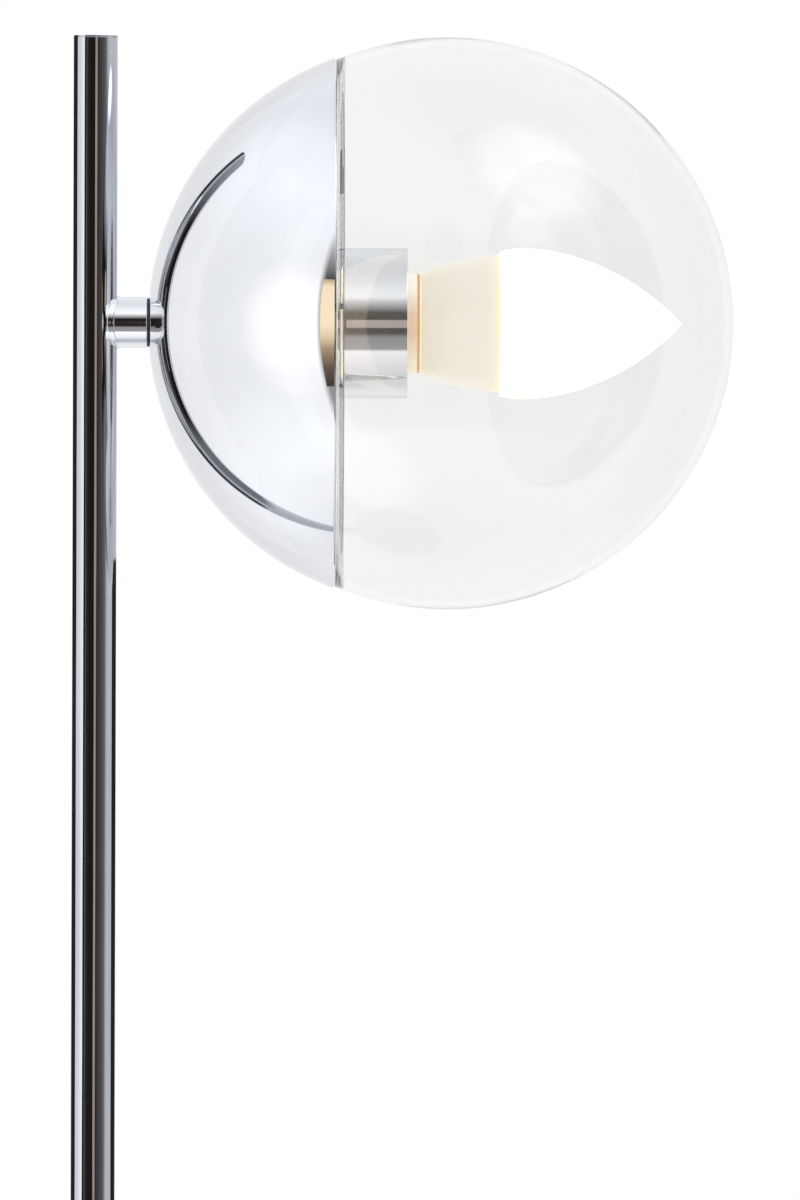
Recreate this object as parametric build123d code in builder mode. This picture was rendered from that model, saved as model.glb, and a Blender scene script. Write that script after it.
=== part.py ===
from build123d import *
import math
import os

os.makedirs("parts", exist_ok=True)

# All sizes are in millimetres. The lamp stands on the XY plane with its stem on the Z axis,
# and its head points along +X. Threads are drawn as plain cylinders, save the one of the bulb.

# Whole lamp
total_height = 480.0  # table to the top of the stem
head_drop = 75.2  # top of the stem to the axis of the head
fit_gap = 0.05  # between pieces that are brazed, pressed or screwed together
slip_gap = 0.3  # between pieces that are laid together or that move past each other
head_z = total_height - head_drop

# Base
pad_t = 1.5
pad_inset = 4.0
base_d = 170.0
base_h = 16.5
base_wall = 1.2
base_edge_r = 5.0
plate_t = 1.2
weight_gap = 0.6
weight_web = 4.0  # iron left above the wiring pocket
pocket_front = 15.0
pocket_back = 44.0
pocket_w = 30.0
pocket_corner_r = 4.0
channel_w = 15.0
channel_overrun = 10.0  # into the pocket, past its rounded end
plate_screw_d = 4.0
plate_screw_reach = 9.0
plate_screw_head_d = 8.0
plate_screw_head_t = 1.2
plate_screw_circle_r = 62.0
plate_screw_count = 3

# Cord bush in the base's rear wall
bush_neck_d = 8.4
bush_bore_d = 6.4
bush_flange_d = 11.6
bush_flange_t = 2.0
bush_lock_d = 9.6
bush_lock_t = 2.5
bush_lock_gap = 0.2  # from the cover's inner side
bush_lock_taper = 12.0  # degrees

# Terminal block in the base
ways = 3
way_pitch = 8.0
block_x = -31.0
block_l = 16.0
block_h = 9.2
block_corner_r = 1.0
barrel_d = 4.6
barrel_bore_d = 2.8
barrel_l = 14.0
clamp_screw_d = 2.6
clamp_screw_x = 4.2  # from the middle of the block
clamp_slot_w = 0.5
clamp_slot_depth = 0.6
block_screw_d = 3.0
block_screw_head_d = 5.0
block_screw_head_t = 1.8
block_screw_bite = 3.2
block_slot_w = 0.8
block_slot_depth = 1.0

# Stem
stem_d = 11.6
stem_wall = 1.2
cap_t = 0.45
cap_chamfer = 0.15
cap_plug_l = 10.0
foot_plug_l = 16.0
stud_d = 8.0
stud_bore_d = 5.2
stem_washer_d = 22.0
stem_washer_t = 1.2
stem_nut_across = 13.0
stem_nut_t = 3.5
stud_end_l = 0.6  # thread that stands out of the nut
stem_window_d = 8.0  # wire hole towards the arm

# Earth tag under the stem nut
tag_t = 0.6
tag_d = 15.0
tag_tail_w = 5.0
tag_crimp_d = 3.4
tag_crimp_l = 5.0

# Arm between the stem and the head
arm_d = 13.4
arm_root_x = 2.9  # where the coped end stops, from the stem's axis
arm_groove_w = 0.5  # dark shadow gap against the head
arm_groove_d = 11.8
arm_bore_d = 7.2
arm_edge_r = 0.25
arm_thread_l = 7.0
nipple_d = 10.0
nipple_bore_d = 6.4

# Metal dome of the head
dome_r = 73.9
dome_wall = 1.0
flat_x = 14.2  # small flat at the dome's pole, from the stem's axis
rim_back = 25.0  # plane of the open rim, behind the dome's centre
seat_d = 24.0
seat_t = 2.4
head_nut_across = 14.0
head_nut_t = 4.0
spacer_d = 14.0

# Holder cup
cup_d = 39.4
cup_wall = 0.9
cup_mouth_back = 5.9  # the cup's mouth, behind the dome's centre
cup_corner_r = 3.0

# Lampholder
holder_d = 26.0
holder_wall = 1.8
holder_stand_out = 3.2  # in front of the cup's mouth
holder_mouth_d = 20.6
holder_cap_l = 14.0
holder_cap_floor = 2.5
holder_boss_d = 14.0
holder_boss_l = 6.5
notch_count = 36
notch_w = 0.9
notch_depth = 0.5
collar_l = 3.4
core_l = 9.5
core_gap = 0.2
terminal_l = 6.0
terminal_w = 5.0
terminal_h = 4.0
terminal_y = 5.6
terminal_bore_d = 2.6
holder_screw_d = 2.6
holder_screw_head_d = 3.6
holder_screw_head_t = 1.2
holder_slot_w = 0.6
shell_wall = 0.4
contact_t = 0.4
contact_w = 4.0
contact_reach = 5.0
contact_room = 3.6  # from the core to the bulb's button

# Screw thread of the bulb and its socket, drawn as rings
thread_pitch = 2.82
thread_turns = 5
thread_root_r = 6.2
thread_crest_r = 6.92
thread_gap = 0.15
thread_root_share = 0.15  # shares of a turn: end of the root, start and end of the crest
thread_rise_share = 0.42
thread_crest_share = 0.72

# Bulb
bulb_cap_depth = 5.5  # front edge of the cap, behind the socket's mouth
bulb_cap_flare_l = 2.2
bulb_cap_bore_r = 5.75
bulb_insulator_l = 4.4
bulb_insulator_r = 3.6
bulb_button_d = 5.0
bulb_button_t = 1.3
bulb_neck_r = 9.4
bulb_shoulder_r = 12.9
bulb_body_l = 20.8
bulb_body_r = 18.1
bulb_wall = 1.3
bulb_neck_wall = 1.0
body_swell_shares = (0.25, 0.44)  # of the body's length and widening, at two places on its side
body_belly_shares = (0.51, 0.69)
body_rear_slope = (0.6, 1.0)
body_front_slope = (1.0, 0.13)
diffuser_l = 47.7
diffuser_belly_r = 19.0
diffuser_wall = 1.2
diffuser_tip_t = 2.2
diffuser_lip_l = 2.4
flame_swell_share = 0.05  # shares of the flame's length, and of its width near the tip
flame_belly_share = 0.12
flame_fall_share = 0.47
flame_point_share = 0.82
flame_point_width = 0.5
led_board_r = 14.6
led_board_t = 1.6
led_count = 8
led_circle_r = 9.0
led_size = 3.0
led_t = 0.7
driver_w = 8.4
driver_l = 27.0
driver_t = 1.0
capacitor_d = 5.0
capacitor_l = 9.0

# Glass globe
glass_proud = 1.1  # larger in radius than the dome
glass_forward = 4.6  # its centre, in front of the dome's
glass_wall = 2.2
glass_gap = 0.4  # between the dome's rim and the glass's shoulder
lip_inset = 5.5  # inside the dome's rim, with room for the clips
lip_l = 7.0

# Spring clips that hold the glass's lip
clip_count = 3
clip_first_angle = 60.0  # from straight up, about the head's axis
clip_span = 8.0  # degrees
clip_t = 0.5
clip_foot_l = 9.0
clip_tip_l = 1.6
clip_tip_lift = 0.9
clip_knee = 0.6

# Leads
lead_d = 1.7
lead_side = 0.95  # from the middle of the bore, side by side
lead_low = 1.7  # axis above the bottom plate
lead_rise_x = -1.0  # where they go up the stem
lead_straight_l = 4.5  # in front of the barrels
lead_slope_l = 14.0
lead_slope_share = 0.62  # of the way pitch that is left at the foot of the slope
lead_fan_start = 1.5  # in front of the nipple
lead_fan_end = 1.0  # behind the core
lead_end_share = 0.8  # of the terminal's length that the lead goes in
lead_leave_r = 4.0
lead_floor_r = 6.0
lead_exit_r = 2.3
lead_bend_r = 5.0
lead_fan_r = 3.0
lead_end_r = 1.8

# Places that follow from the sizes above
cover_top_z = pad_t + base_h
inner_top_z = cover_top_z - base_wall
plate_top_z = pad_t + plate_t
pocket_top_z = inner_top_z - weight_web
bush_z = (plate_top_z + pocket_top_z) / 2
inner_base_r = base_d / 2 - base_wall
weight_r = inner_base_r - weight_gap
stem_r = stem_d / 2
stem_bore_r = stem_r - stem_wall
washer_z = pocket_top_z - stem_washer_t
tag_z = washer_z - tag_t
stem_nut_z = tag_z - stem_nut_t
stud_end_z = stem_nut_z - stud_end_l
block_z = pocket_top_z - block_h
way_z = block_z + block_h / 2
dome_centre_x = flat_x + math.sqrt(dome_r**2 - (arm_d / 2) ** 2)
rim_x = dome_centre_x - rim_back
arm_end_x = flat_x - arm_groove_w
dome_inner_r = dome_r - dome_wall
dome_inside_x = flat_x + dome_wall
seat_front_x = dome_inside_x + seat_t
head_nut_front_x = seat_front_x + head_nut_t
cup_mouth_x = dome_centre_x - cup_mouth_back
holder_mouth_x = cup_mouth_x + holder_stand_out
thread_l = thread_pitch * thread_turns
bulb_cap_front_x = holder_mouth_x - bulb_cap_depth
thread_front_x = bulb_cap_front_x - bulb_cap_flare_l
thread_back_x = thread_front_x - thread_l
button_back_x = thread_back_x - bulb_insulator_l - bulb_button_t
core_front_x = button_back_x - contact_room
holder_joint_x = core_front_x - core_l
holder_back_x = holder_joint_x - holder_cap_l
cup_back_x = holder_back_x - cup_wall
nipple_back_x = flat_x - arm_thread_l
nipple_front_x = holder_back_x + holder_cap_floor + holder_boss_l - fit_gap
holder_r = holder_d / 2
holder_bore_r = holder_r - holder_wall
bulb_body_back_x = holder_mouth_x + slip_gap
bulb_joint_x = bulb_body_back_x + bulb_body_l
bulb_tip_x = bulb_joint_x + diffuser_l
led_board_x = bulb_joint_x - diffuser_lip_l - led_board_t
glass_r = dome_r + glass_proud
glass_centre_x = dome_centre_x + glass_forward
glass_back_x = rim_x + glass_gap
lip_r = math.sqrt(dome_inner_r**2 - rim_back**2) - lip_inset
lip_back_x = glass_back_x - lip_l
clip_inner_r = lip_r + slip_gap
lead_floor_z = plate_top_z + lead_low

head_axis = Axis((0, 0, head_z), (1, 0, 0))


def head_plane(angle=0):
    """Sketch plane through the head's axis: local x runs along the head, local y outwards."""
    sine = math.sin(math.radians(angle))
    cosine = math.cos(math.radians(angle))
    return Plane(origin=(0, 0, head_z), x_dir=(1, 0, 0), z_dir=(0, -cosine, sine))


def across_head(x):
    """Sketch plane square to the head's axis at x."""
    return Plane(origin=(x, 0, head_z), x_dir=(0, 1, 0), z_dir=(1, 0, 0))


def turned(points, mode=Mode.ADD):
    """A ring about the head's axis, from the corners of its section in x and radius."""
    with BuildSketch(head_plane()) as section:
        with BuildLine():
            Polyline(*points, close=True)
        make_face()
    revolve(section.sketch, axis=head_axis, mode=mode)


def ring(back_x, front_x, inner_r, outer_r, mode=Mode.ADD):
    """A plain ring about the head's axis."""
    corners = [(back_x, inner_r), (front_x, inner_r), (front_x, outer_r), (back_x, outer_r)]
    turned(corners, mode)


def ring_thread(back_x, front_x, root_r, crest_r):
    """Corners of the wavy side of a thread drawn as rings, from back to front."""
    points = []
    pitch = (front_x - back_x) / thread_turns
    for turn in range(thread_turns):
        start = back_x + turn * pitch
        points.append((start, root_r))
        points.append((start + thread_root_share * pitch, root_r))
        points.append((start + thread_rise_share * pitch, crest_r))
        points.append((start + thread_crest_share * pitch, crest_r))
    points.append((front_x, root_r))
    return points


def finish(part, label):
    """Name a finished piece and write its file."""
    part.label = label
    export_step(part, "parts/" + label + ".step")


def lead_tube(route, radii):
    """A round wire swept along straight runs that are joined by arcs."""
    path = FilletPolyline(*route, radius=radii)
    with BuildPart() as tube:
        with BuildSketch(Plane(origin=path @ 0, z_dir=path % 0)):
            Circle(lead_d / 2)
        sweep(path=path)
    section_area = math.pi * (lead_d / 2) ** 2
    print("lead radii:", radii)
    print("lead volume over section by length:", round(tube.part.volume / section_area / path.length, 4))
    return tube.part


# ---------------------------------------------------------------- base

plate_screw_spots = PolarLocations(plate_screw_circle_r, plate_screw_count)

# Foam pad stuck under the bottom plate. It has holes over the plate's screws.
with BuildPart() as base_pad:
    with BuildSketch():
        Circle(inner_base_r - pad_inset)
        with plate_screw_spots:
            Circle(plate_screw_head_d / 2 + slip_gap * 2, mode=Mode.SUBTRACT)
    extrude(amount=pad_t)
finish(base_pad.part, "base_pad")

# Steel plate that closes the base from below.
with BuildPart() as bottom_plate:
    with BuildSketch(Plane.XY.offset(pad_t)):
        Circle(inner_base_r - slip_gap)
        with plate_screw_spots:
            Circle(plate_screw_d / 2 + slip_gap / 2, mode=Mode.SUBTRACT)
    extrude(amount=plate_t)
finish(bottom_plate.part, "bottom_plate")

# Spun steel cover with a rounded edge, a hole for the stem's stud and one for the cord bush.
with BuildPart() as base_cover:
    with BuildSketch(Plane.XY.offset(pad_t)):
        Circle(base_d / 2)
    extrude(amount=base_h)
    fillet(base_cover.edges().group_by(Axis.Z)[-1], base_edge_r)
    offset(amount=-base_wall, openings=base_cover.faces().sort_by(Axis.Z)[0])
    with BuildSketch(Plane.XY.offset(inner_top_z)):
        Circle(stud_d / 2 + slip_gap / 2)
    extrude(amount=base_wall, mode=Mode.SUBTRACT)
    with BuildSketch(Plane(origin=(-base_d / 2, 0, bush_z), z_dir=(1, 0, 0))):
        Circle(bush_neck_d / 2 + fit_gap)
    extrude(amount=base_wall * 2, mode=Mode.SUBTRACT)
finish(base_cover.part, "base_cover")

# Cast iron weight with a wiring pocket, a cord channel and tapped holes.
with BuildPart() as base_weight:
    with BuildSketch(Plane.XY.offset(plate_top_z)):
        Circle(weight_r)
    extrude(amount=inner_top_z - plate_top_z)
    chamfer(base_weight.edges().group_by(Axis.Z)[-1], base_edge_r - base_wall)
    with BuildSketch(Plane.XY.offset(plate_top_z)):
        with Locations(((pocket_front - pocket_back) / 2, 0)):
            RectangleRounded(pocket_front + pocket_back, pocket_w, pocket_corner_r)
        with Locations((-(pocket_back + weight_r) / 2, 0)):
            Rectangle(weight_r - pocket_back + channel_overrun, channel_w)
    extrude(amount=pocket_top_z - plate_top_z, mode=Mode.SUBTRACT)
    with BuildSketch(Plane.XY.offset(pocket_top_z)):
        Circle(stud_d / 2 + slip_gap / 2)
    extrude(amount=weight_web, mode=Mode.SUBTRACT)
    with BuildSketch(Plane.XY.offset(plate_top_z)):
        with plate_screw_spots:
            Circle(plate_screw_d / 2 + fit_gap)
    extrude(amount=plate_screw_reach + fit_gap - plate_t, mode=Mode.SUBTRACT)
    with BuildSketch(Plane.XY.offset(pocket_top_z)):
        with Locations((block_x, way_pitch / 2), (block_x, -way_pitch / 2)):
            Circle(block_screw_d / 2 + fit_gap)
    extrude(amount=block_screw_bite + fit_gap, mode=Mode.SUBTRACT)
finish(base_weight.part, "base_weight")

# Low-headed screws that hold the plate and the cover's contents together.
with BuildPart() as plate_screws:
    with BuildSketch(Plane.XY.offset(pad_t - plate_screw_head_t)):
        with plate_screw_spots:
            Circle(plate_screw_head_d / 2)
    extrude(amount=plate_screw_head_t)
    with BuildSketch(Plane.XY.offset(pad_t)):
        with plate_screw_spots:
            Circle(plate_screw_d / 2)
    extrude(amount=plate_screw_reach)
    with BuildSketch(Plane.XY.offset(pad_t - plate_screw_head_t)):
        with plate_screw_spots:
            Rectangle(plate_screw_d, plate_t / 2)
            Rectangle(plate_t / 2, plate_screw_d)
    extrude(amount=plate_screw_head_t, mode=Mode.SUBTRACT)
finish(plate_screws.part, "plate_screws")

# Rubber bush that a cord would pass through. Its flanges follow the round wall of the cover.
with BuildPart() as cord_bush:
    bush_reach = base_d / 2 + bush_flange_t
    with BuildSketch(Plane(origin=(-bush_reach, 0, bush_z), z_dir=(1, 0, 0))):
        Circle(bush_flange_d / 2)
    extrude(amount=bush_flange_t * 2)
    with BuildSketch(Plane.XY):
        Circle(base_d / 2)
    extrude(amount=cover_top_z, mode=Mode.SUBTRACT)
    with BuildSketch(Plane(origin=(-bush_reach, 0, bush_z), z_dir=(1, 0, 0))):
        Circle(bush_neck_d / 2)
    extrude(amount=bush_flange_t + base_wall + bush_lock_t)
    lock_plane = Plane(origin=(-inner_base_r + bush_lock_gap, 0, bush_z), z_dir=(1, 0, 0))
    with BuildSketch(lock_plane):
        Circle(bush_lock_d / 2)
    extrude(amount=bush_lock_t - bush_lock_gap, taper=bush_lock_taper)
    with BuildSketch(Plane(origin=(-bush_reach, 0, bush_z), z_dir=(1, 0, 0))):
        Circle(bush_bore_d / 2)
    extrude(amount=bush_reach, mode=Mode.SUBTRACT)
finish(cord_bush.part, "cord_bush")

# ---------------------------------------------------------------- terminal block

way_ys = [(way - (ways - 1) / 2) * way_pitch for way in range(ways)]
block_screw_ys = [y + way_pitch / 2 for y in way_ys[:-1]]
clamp_xs = [block_x - clamp_screw_x, block_x + clamp_screw_x]
clamp_spots = [(x, y) for x in clamp_xs for y in way_ys]
block_back_plane = Plane(origin=(block_x - block_l / 2, 0, way_z), x_dir=(0, 1, 0), z_dir=(1, 0, 0))
barrel_back_x = block_x - barrel_l / 2
barrel_plane = Plane(origin=(barrel_back_x, 0, way_z), x_dir=(0, 1, 0), z_dir=(1, 0, 0))

# Moulded housing that joins the cord to the lamp's own leads.
with BuildPart() as terminal_block:
    with BuildSketch(Plane.XY.offset(block_z)):
        with Locations((block_x, 0)):
            Rectangle(block_l, ways * way_pitch)
    extrude(amount=block_h)
    fillet(terminal_block.edges().filter_by(Axis.Z), block_corner_r)
    with BuildSketch(block_back_plane):
        with Locations(*[(y, 0) for y in way_ys]):
            Circle(barrel_d / 2 + fit_gap)
    extrude(amount=block_l, mode=Mode.SUBTRACT)
    with BuildSketch(Plane.XY.offset(block_z)):
        with Locations(*clamp_spots):
            Circle(clamp_screw_d / 2 + slip_gap)
    extrude(amount=block_h / 2, mode=Mode.SUBTRACT)
    with BuildSketch(Plane.XY.offset(block_z)):
        with Locations(*[(block_x, y) for y in block_screw_ys]):
            Circle(block_screw_d / 2 + slip_gap / 2)
    extrude(amount=block_h, mode=Mode.SUBTRACT)
    with BuildSketch(Plane.XY.offset(block_z)):
        with Locations((block_x, 0)):
            Rectangle(block_screw_head_d + slip_gap * 2, way_pitch + block_screw_head_d)
    extrude(amount=block_screw_head_t, mode=Mode.SUBTRACT)
finish(terminal_block.part, "terminal_block")

# Brass barrels, one for each way.
with BuildPart() as terminal_barrels:
    with BuildSketch(barrel_plane):
        with Locations(*[(y, 0) for y in way_ys]):
            Circle(barrel_d / 2)
            Circle(barrel_bore_d / 2, mode=Mode.SUBTRACT)
    extrude(amount=barrel_l)
    with BuildSketch(Plane.XY.offset(block_z)):
        with Locations(*clamp_spots):
            Circle(clamp_screw_d / 2 + fit_gap)
    extrude(amount=block_h / 2, mode=Mode.SUBTRACT)
finish(terminal_barrels.part, "terminal_barrels")

# Clamp screws of the barrels.
with BuildPart() as clamp_screws:
    clamp_tip_z = way_z - lead_d / 2 - fit_gap
    clamp_head_z = block_z + block_screw_head_t / 2
    with BuildSketch(Plane.XY.offset(clamp_head_z)):
        with Locations(*clamp_spots):
            Circle(clamp_screw_d / 2)
    extrude(amount=clamp_tip_z - clamp_head_z)
    with BuildSketch(Plane.XY.offset(clamp_head_z)):
        with Locations(*clamp_spots):
            Rectangle(clamp_screw_d, clamp_slot_w)
    extrude(amount=clamp_slot_depth, mode=Mode.SUBTRACT)
finish(clamp_screws.part, "clamp_screws")

# Screws that hold the block to the weight.
with BuildPart() as block_screws:
    with BuildSketch(Plane.XY.offset(block_z)):
        with Locations(*[(block_x, y) for y in block_screw_ys]):
            Circle(block_screw_head_d / 2 - slip_gap)
    extrude(amount=block_screw_head_t)
    with BuildSketch(Plane.XY.offset(block_z)):
        with Locations(*[(block_x, y) for y in block_screw_ys]):
            Circle(block_screw_d / 2)
    extrude(amount=block_h + block_screw_bite)
    with BuildSketch(Plane.XY.offset(block_z)):
        with Locations(*[(block_x, y) for y in block_screw_ys]):
            Rectangle(block_screw_head_d, block_slot_w)
    extrude(amount=block_slot_depth, mode=Mode.SUBTRACT)
finish(block_screws.part, "block_screws")

# ---------------------------------------------------------------- stem

# Chromed tube with a window for the leads behind the arm.
with BuildPart() as stem_tube:
    with BuildSketch(Plane.XY.offset(cover_top_z)):
        Circle(stem_r)
        Circle(stem_bore_r, mode=Mode.SUBTRACT)
    extrude(amount=total_height - cap_t - cover_top_z)
    with BuildSketch(across_head(0)):
        Circle(stem_window_d / 2)
    extrude(amount=stem_d, mode=Mode.SUBTRACT)
finish(stem_tube.part, "stem_tube")

# Plug pressed into the top of the tube.
with BuildPart() as stem_cap:
    with BuildSketch(Plane.XY.offset(total_height - cap_t - cap_plug_l)):
        Circle(stem_bore_r - fit_gap)
    extrude(amount=cap_plug_l)
    with BuildSketch(Plane.XY.offset(total_height - cap_t)):
        Circle(stem_r)
    extrude(amount=cap_t)
    chamfer(stem_cap.edges().group_by(Axis.Z)[-1], cap_chamfer)
finish(stem_cap.part, "stem_cap")

# Turned foot brazed into the tube, with a hollow stud that goes through the base.
with BuildPart() as stem_foot:
    with BuildSketch(Plane.XY.offset(cover_top_z)):
        Circle(stem_bore_r - fit_gap)
    extrude(amount=foot_plug_l)
    with BuildSketch(Plane.XY.offset(stud_end_z)):
        Circle(stud_d / 2)
    extrude(amount=cover_top_z - stud_end_z)
    with BuildSketch(Plane.XY.offset(stud_end_z)):
        Circle(stud_bore_d / 2)
    extrude(amount=cover_top_z - stud_end_z + foot_plug_l, mode=Mode.SUBTRACT)
finish(stem_foot.part, "stem_foot")

with BuildPart() as stem_washer:
    with BuildSketch(Plane.XY.offset(washer_z)):
        Circle(stem_washer_d / 2)
        Circle(stud_d / 2 + slip_gap / 2, mode=Mode.SUBTRACT)
    extrude(amount=stem_washer_t)
finish(stem_washer.part, "stem_washer")

# Ring tag with a tail that steps down to a crimp around the earth lead.
crimp_front_x = -tag_d / 2 - tag_tail_w
crimp_back_x = crimp_front_x - tag_crimp_l
with BuildPart() as earth_tag:
    with BuildSketch(Plane.XY.offset(tag_z)):
        Circle(tag_d / 2)
        with Locations((crimp_front_x / 2, 0)):
            Rectangle(-crimp_front_x, tag_tail_w)
        Circle(stud_d / 2 + slip_gap / 2, mode=Mode.SUBTRACT)
    extrude(amount=tag_t)
    with BuildSketch(Plane.XY.offset(way_z)):
        with Locations((crimp_front_x + tag_t / 2, 0)):
            Rectangle(tag_t, tag_tail_w)
    extrude(amount=tag_z + tag_t - way_z)
    crimp_plane = Plane(origin=(crimp_back_x, 0, way_z), x_dir=(0, 1, 0), z_dir=(1, 0, 0))
    with BuildSketch(crimp_plane):
        Circle(tag_crimp_d / 2)
    extrude(amount=tag_crimp_l + tag_t)
    with BuildSketch(crimp_plane):
        Circle(lead_d / 2 + fit_gap)
    extrude(amount=tag_crimp_l + tag_t, mode=Mode.SUBTRACT)
finish(earth_tag.part, "earth_tag")

with BuildPart() as stem_nut:
    with BuildSketch(Plane.XY.offset(stem_nut_z)):
        RegularPolygon(stem_nut_across / 2, 6, major_radius=False)
        Circle(stud_d / 2 + fit_gap, mode=Mode.SUBTRACT)
    extrude(amount=stem_nut_t)
finish(stem_nut.part, "stem_nut")

# ---------------------------------------------------------------- arm and head fixings

# Turned arm, coped on the stem and brazed to it, tapped at its far end.
with BuildPart() as arm:
    with BuildSketch(across_head(arm_root_x)):
        Circle(arm_d / 2)
    extrude(amount=arm_end_x - arm_root_x)
    fillet(arm.edges().filter_by(GeomType.CIRCLE).sort_by(Axis.X)[-1], arm_edge_r)
    with BuildSketch(across_head(arm_end_x)):
        Circle(arm_groove_d / 2)
    extrude(amount=flat_x - arm_end_x)
    with BuildSketch(Plane.XY.offset(head_z - arm_d)):
        Circle(stem_r)
    extrude(amount=arm_d * 2, mode=Mode.SUBTRACT)
    with BuildSketch(across_head(arm_root_x)):
        Circle(arm_bore_d / 2)
    extrude(amount=flat_x - arm_root_x, mode=Mode.SUBTRACT)
    with BuildSketch(across_head(nipple_back_x - fit_gap)):
        Circle(nipple_d / 2 + fit_gap)
    extrude(amount=flat_x - nipple_back_x + fit_gap, mode=Mode.SUBTRACT)
finish(arm.part, "arm")

# Hollow threaded tube that strings the head together and carries the leads.
with BuildPart() as arm_nipple:
    ring(nipple_back_x, nipple_front_x, nipple_bore_d / 2, nipple_d / 2)
finish(arm_nipple.part, "arm_nipple")

# Spun dome: part of a ball with a small flat at its pole and a hole for the nipple.
with BuildPart() as dome:
    with BuildSketch(head_plane()) as dome_section:
        with Locations((dome_centre_x, 0)):
            Circle(dome_r)
            Circle(dome_inner_r, mode=Mode.SUBTRACT)
        with Locations(((flat_x + rim_x) / 2, dome_r / 2)):
            Rectangle(rim_x - flat_x, dome_r, mode=Mode.INTERSECT)
        with Locations((flat_x + dome_wall / 2, arm_d / 4)):
            Rectangle(dome_wall, arm_d / 2)
        with Locations((flat_x, 0)):
            Rectangle(dome_wall * 4, nipple_d + slip_gap * 2, mode=Mode.SUBTRACT)
    revolve(axis=head_axis)
finish(dome.part, "dome")

# Thick washer that follows the inside of the dome.
with BuildPart() as dome_seat:
    ring(dome_inside_x, seat_front_x, nipple_d / 2 + slip_gap, seat_d / 2)
    with Locations((dome_centre_x, 0, head_z)):
        Sphere(dome_inner_r - fit_gap, mode=Mode.INTERSECT)
finish(dome_seat.part, "dome_seat")

with BuildPart() as head_nut:
    with BuildSketch(across_head(seat_front_x)):
        RegularPolygon(head_nut_across / 2, 6, major_radius=False)
        Circle(nipple_d / 2 + fit_gap, mode=Mode.SUBTRACT)
    extrude(amount=head_nut_t)
finish(head_nut.part, "head_nut")

with BuildPart() as cup_spacer:
    ring(head_nut_front_x, cup_back_x, nipple_d / 2 + slip_gap, spacer_d / 2)
finish(cup_spacer.part, "cup_spacer")

# Chromed cup that hides the lampholder.
with BuildPart() as holder_cup:
    with BuildSketch(across_head(cup_back_x)):
        Circle(cup_d / 2)
    extrude(amount=cup_mouth_x - cup_back_x)
    fillet(holder_cup.edges().group_by(Axis.X)[0], cup_corner_r)
    offset(amount=-cup_wall, openings=holder_cup.faces().sort_by(Axis.X)[-1])
    with BuildSketch(across_head(cup_back_x)):
        Circle(nipple_d / 2 + slip_gap)
    extrude(amount=cup_wall * 2, mode=Mode.SUBTRACT)
finish(holder_cup.part, "holder_cup")

# ---------------------------------------------------------------- lampholder

# Rear half with the boss that screws on the nipple.
with BuildPart() as holder_cap:
    ring(holder_back_x, holder_joint_x, 0, holder_r)
    fillet(holder_cap.edges().group_by(Axis.X)[0], holder_wall)
    floor_x = holder_back_x + holder_cap_floor
    ring(floor_x, holder_joint_x, holder_boss_d / 2, holder_bore_r, Mode.SUBTRACT)
    ring(floor_x + holder_boss_l, holder_joint_x, 0, holder_bore_r, Mode.SUBTRACT)
    ring(holder_back_x, floor_x + holder_boss_l, 0, nipple_d / 2 + fit_gap, Mode.SUBTRACT)
finish(holder_cap.part, "holder_cap")

# Front half, a sleeve with a narrower mouth and a finely notched collar.
with BuildPart() as holder_sleeve:
    ring(holder_joint_x, holder_mouth_x, holder_bore_r, holder_r)
    ring(holder_mouth_x - collar_l, holder_mouth_x, holder_mouth_d / 2, holder_r)
    fillet(holder_sleeve.edges().group_by(Axis.X)[-1].sort_by(SortBy.LENGTH)[-1], notch_depth)
    with BuildSketch(across_head(holder_mouth_x - collar_l / 2)):
        with PolarLocations(holder_r, notch_count, start_angle=180 / notch_count):
            Rectangle(notch_depth * 2, notch_w)
    extrude(amount=collar_l / 2, mode=Mode.SUBTRACT)
finish(holder_sleeve.part, "holder_sleeve")

# Insulating core that carries the contacts, with a slot for each terminal.
core_r = holder_bore_r - core_gap
terminal_back_x = holder_joint_x + core_gap
terminal_ys = [-terminal_y, terminal_y]
with BuildPart() as holder_core:
    ring(holder_joint_x, core_front_x, 0, core_r)
    with BuildSketch(across_head(holder_joint_x)):
        with Locations(*[(y, 0) for y in terminal_ys]):
            Rectangle(terminal_w + fit_gap * 2, terminal_h + fit_gap * 2)
    extrude(amount=terminal_l + core_gap + fit_gap, mode=Mode.SUBTRACT)
    with BuildSketch(Plane.XY.offset(head_z)):
        with Locations(*[(terminal_back_x + terminal_l / 2, y) for y in terminal_ys]):
            Circle(holder_screw_head_d / 2 + fit_gap)
    extrude(amount=holder_r, mode=Mode.SUBTRACT)
finish(holder_core.part, "holder_core")

with BuildPart() as holder_terminals:
    with BuildSketch(across_head(terminal_back_x)):
        with Locations(*[(y, 0) for y in terminal_ys]):
            Rectangle(terminal_w, terminal_h)
            Circle(terminal_bore_d / 2, mode=Mode.SUBTRACT)
    extrude(amount=terminal_l)
    with BuildSketch(Plane.XY.offset(head_z)):
        with Locations(*[(terminal_back_x + terminal_l / 2, y) for y in terminal_ys]):
            Circle(holder_screw_d / 2 + fit_gap)
    extrude(amount=terminal_h, mode=Mode.SUBTRACT)
finish(holder_terminals.part, "holder_terminals")

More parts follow.
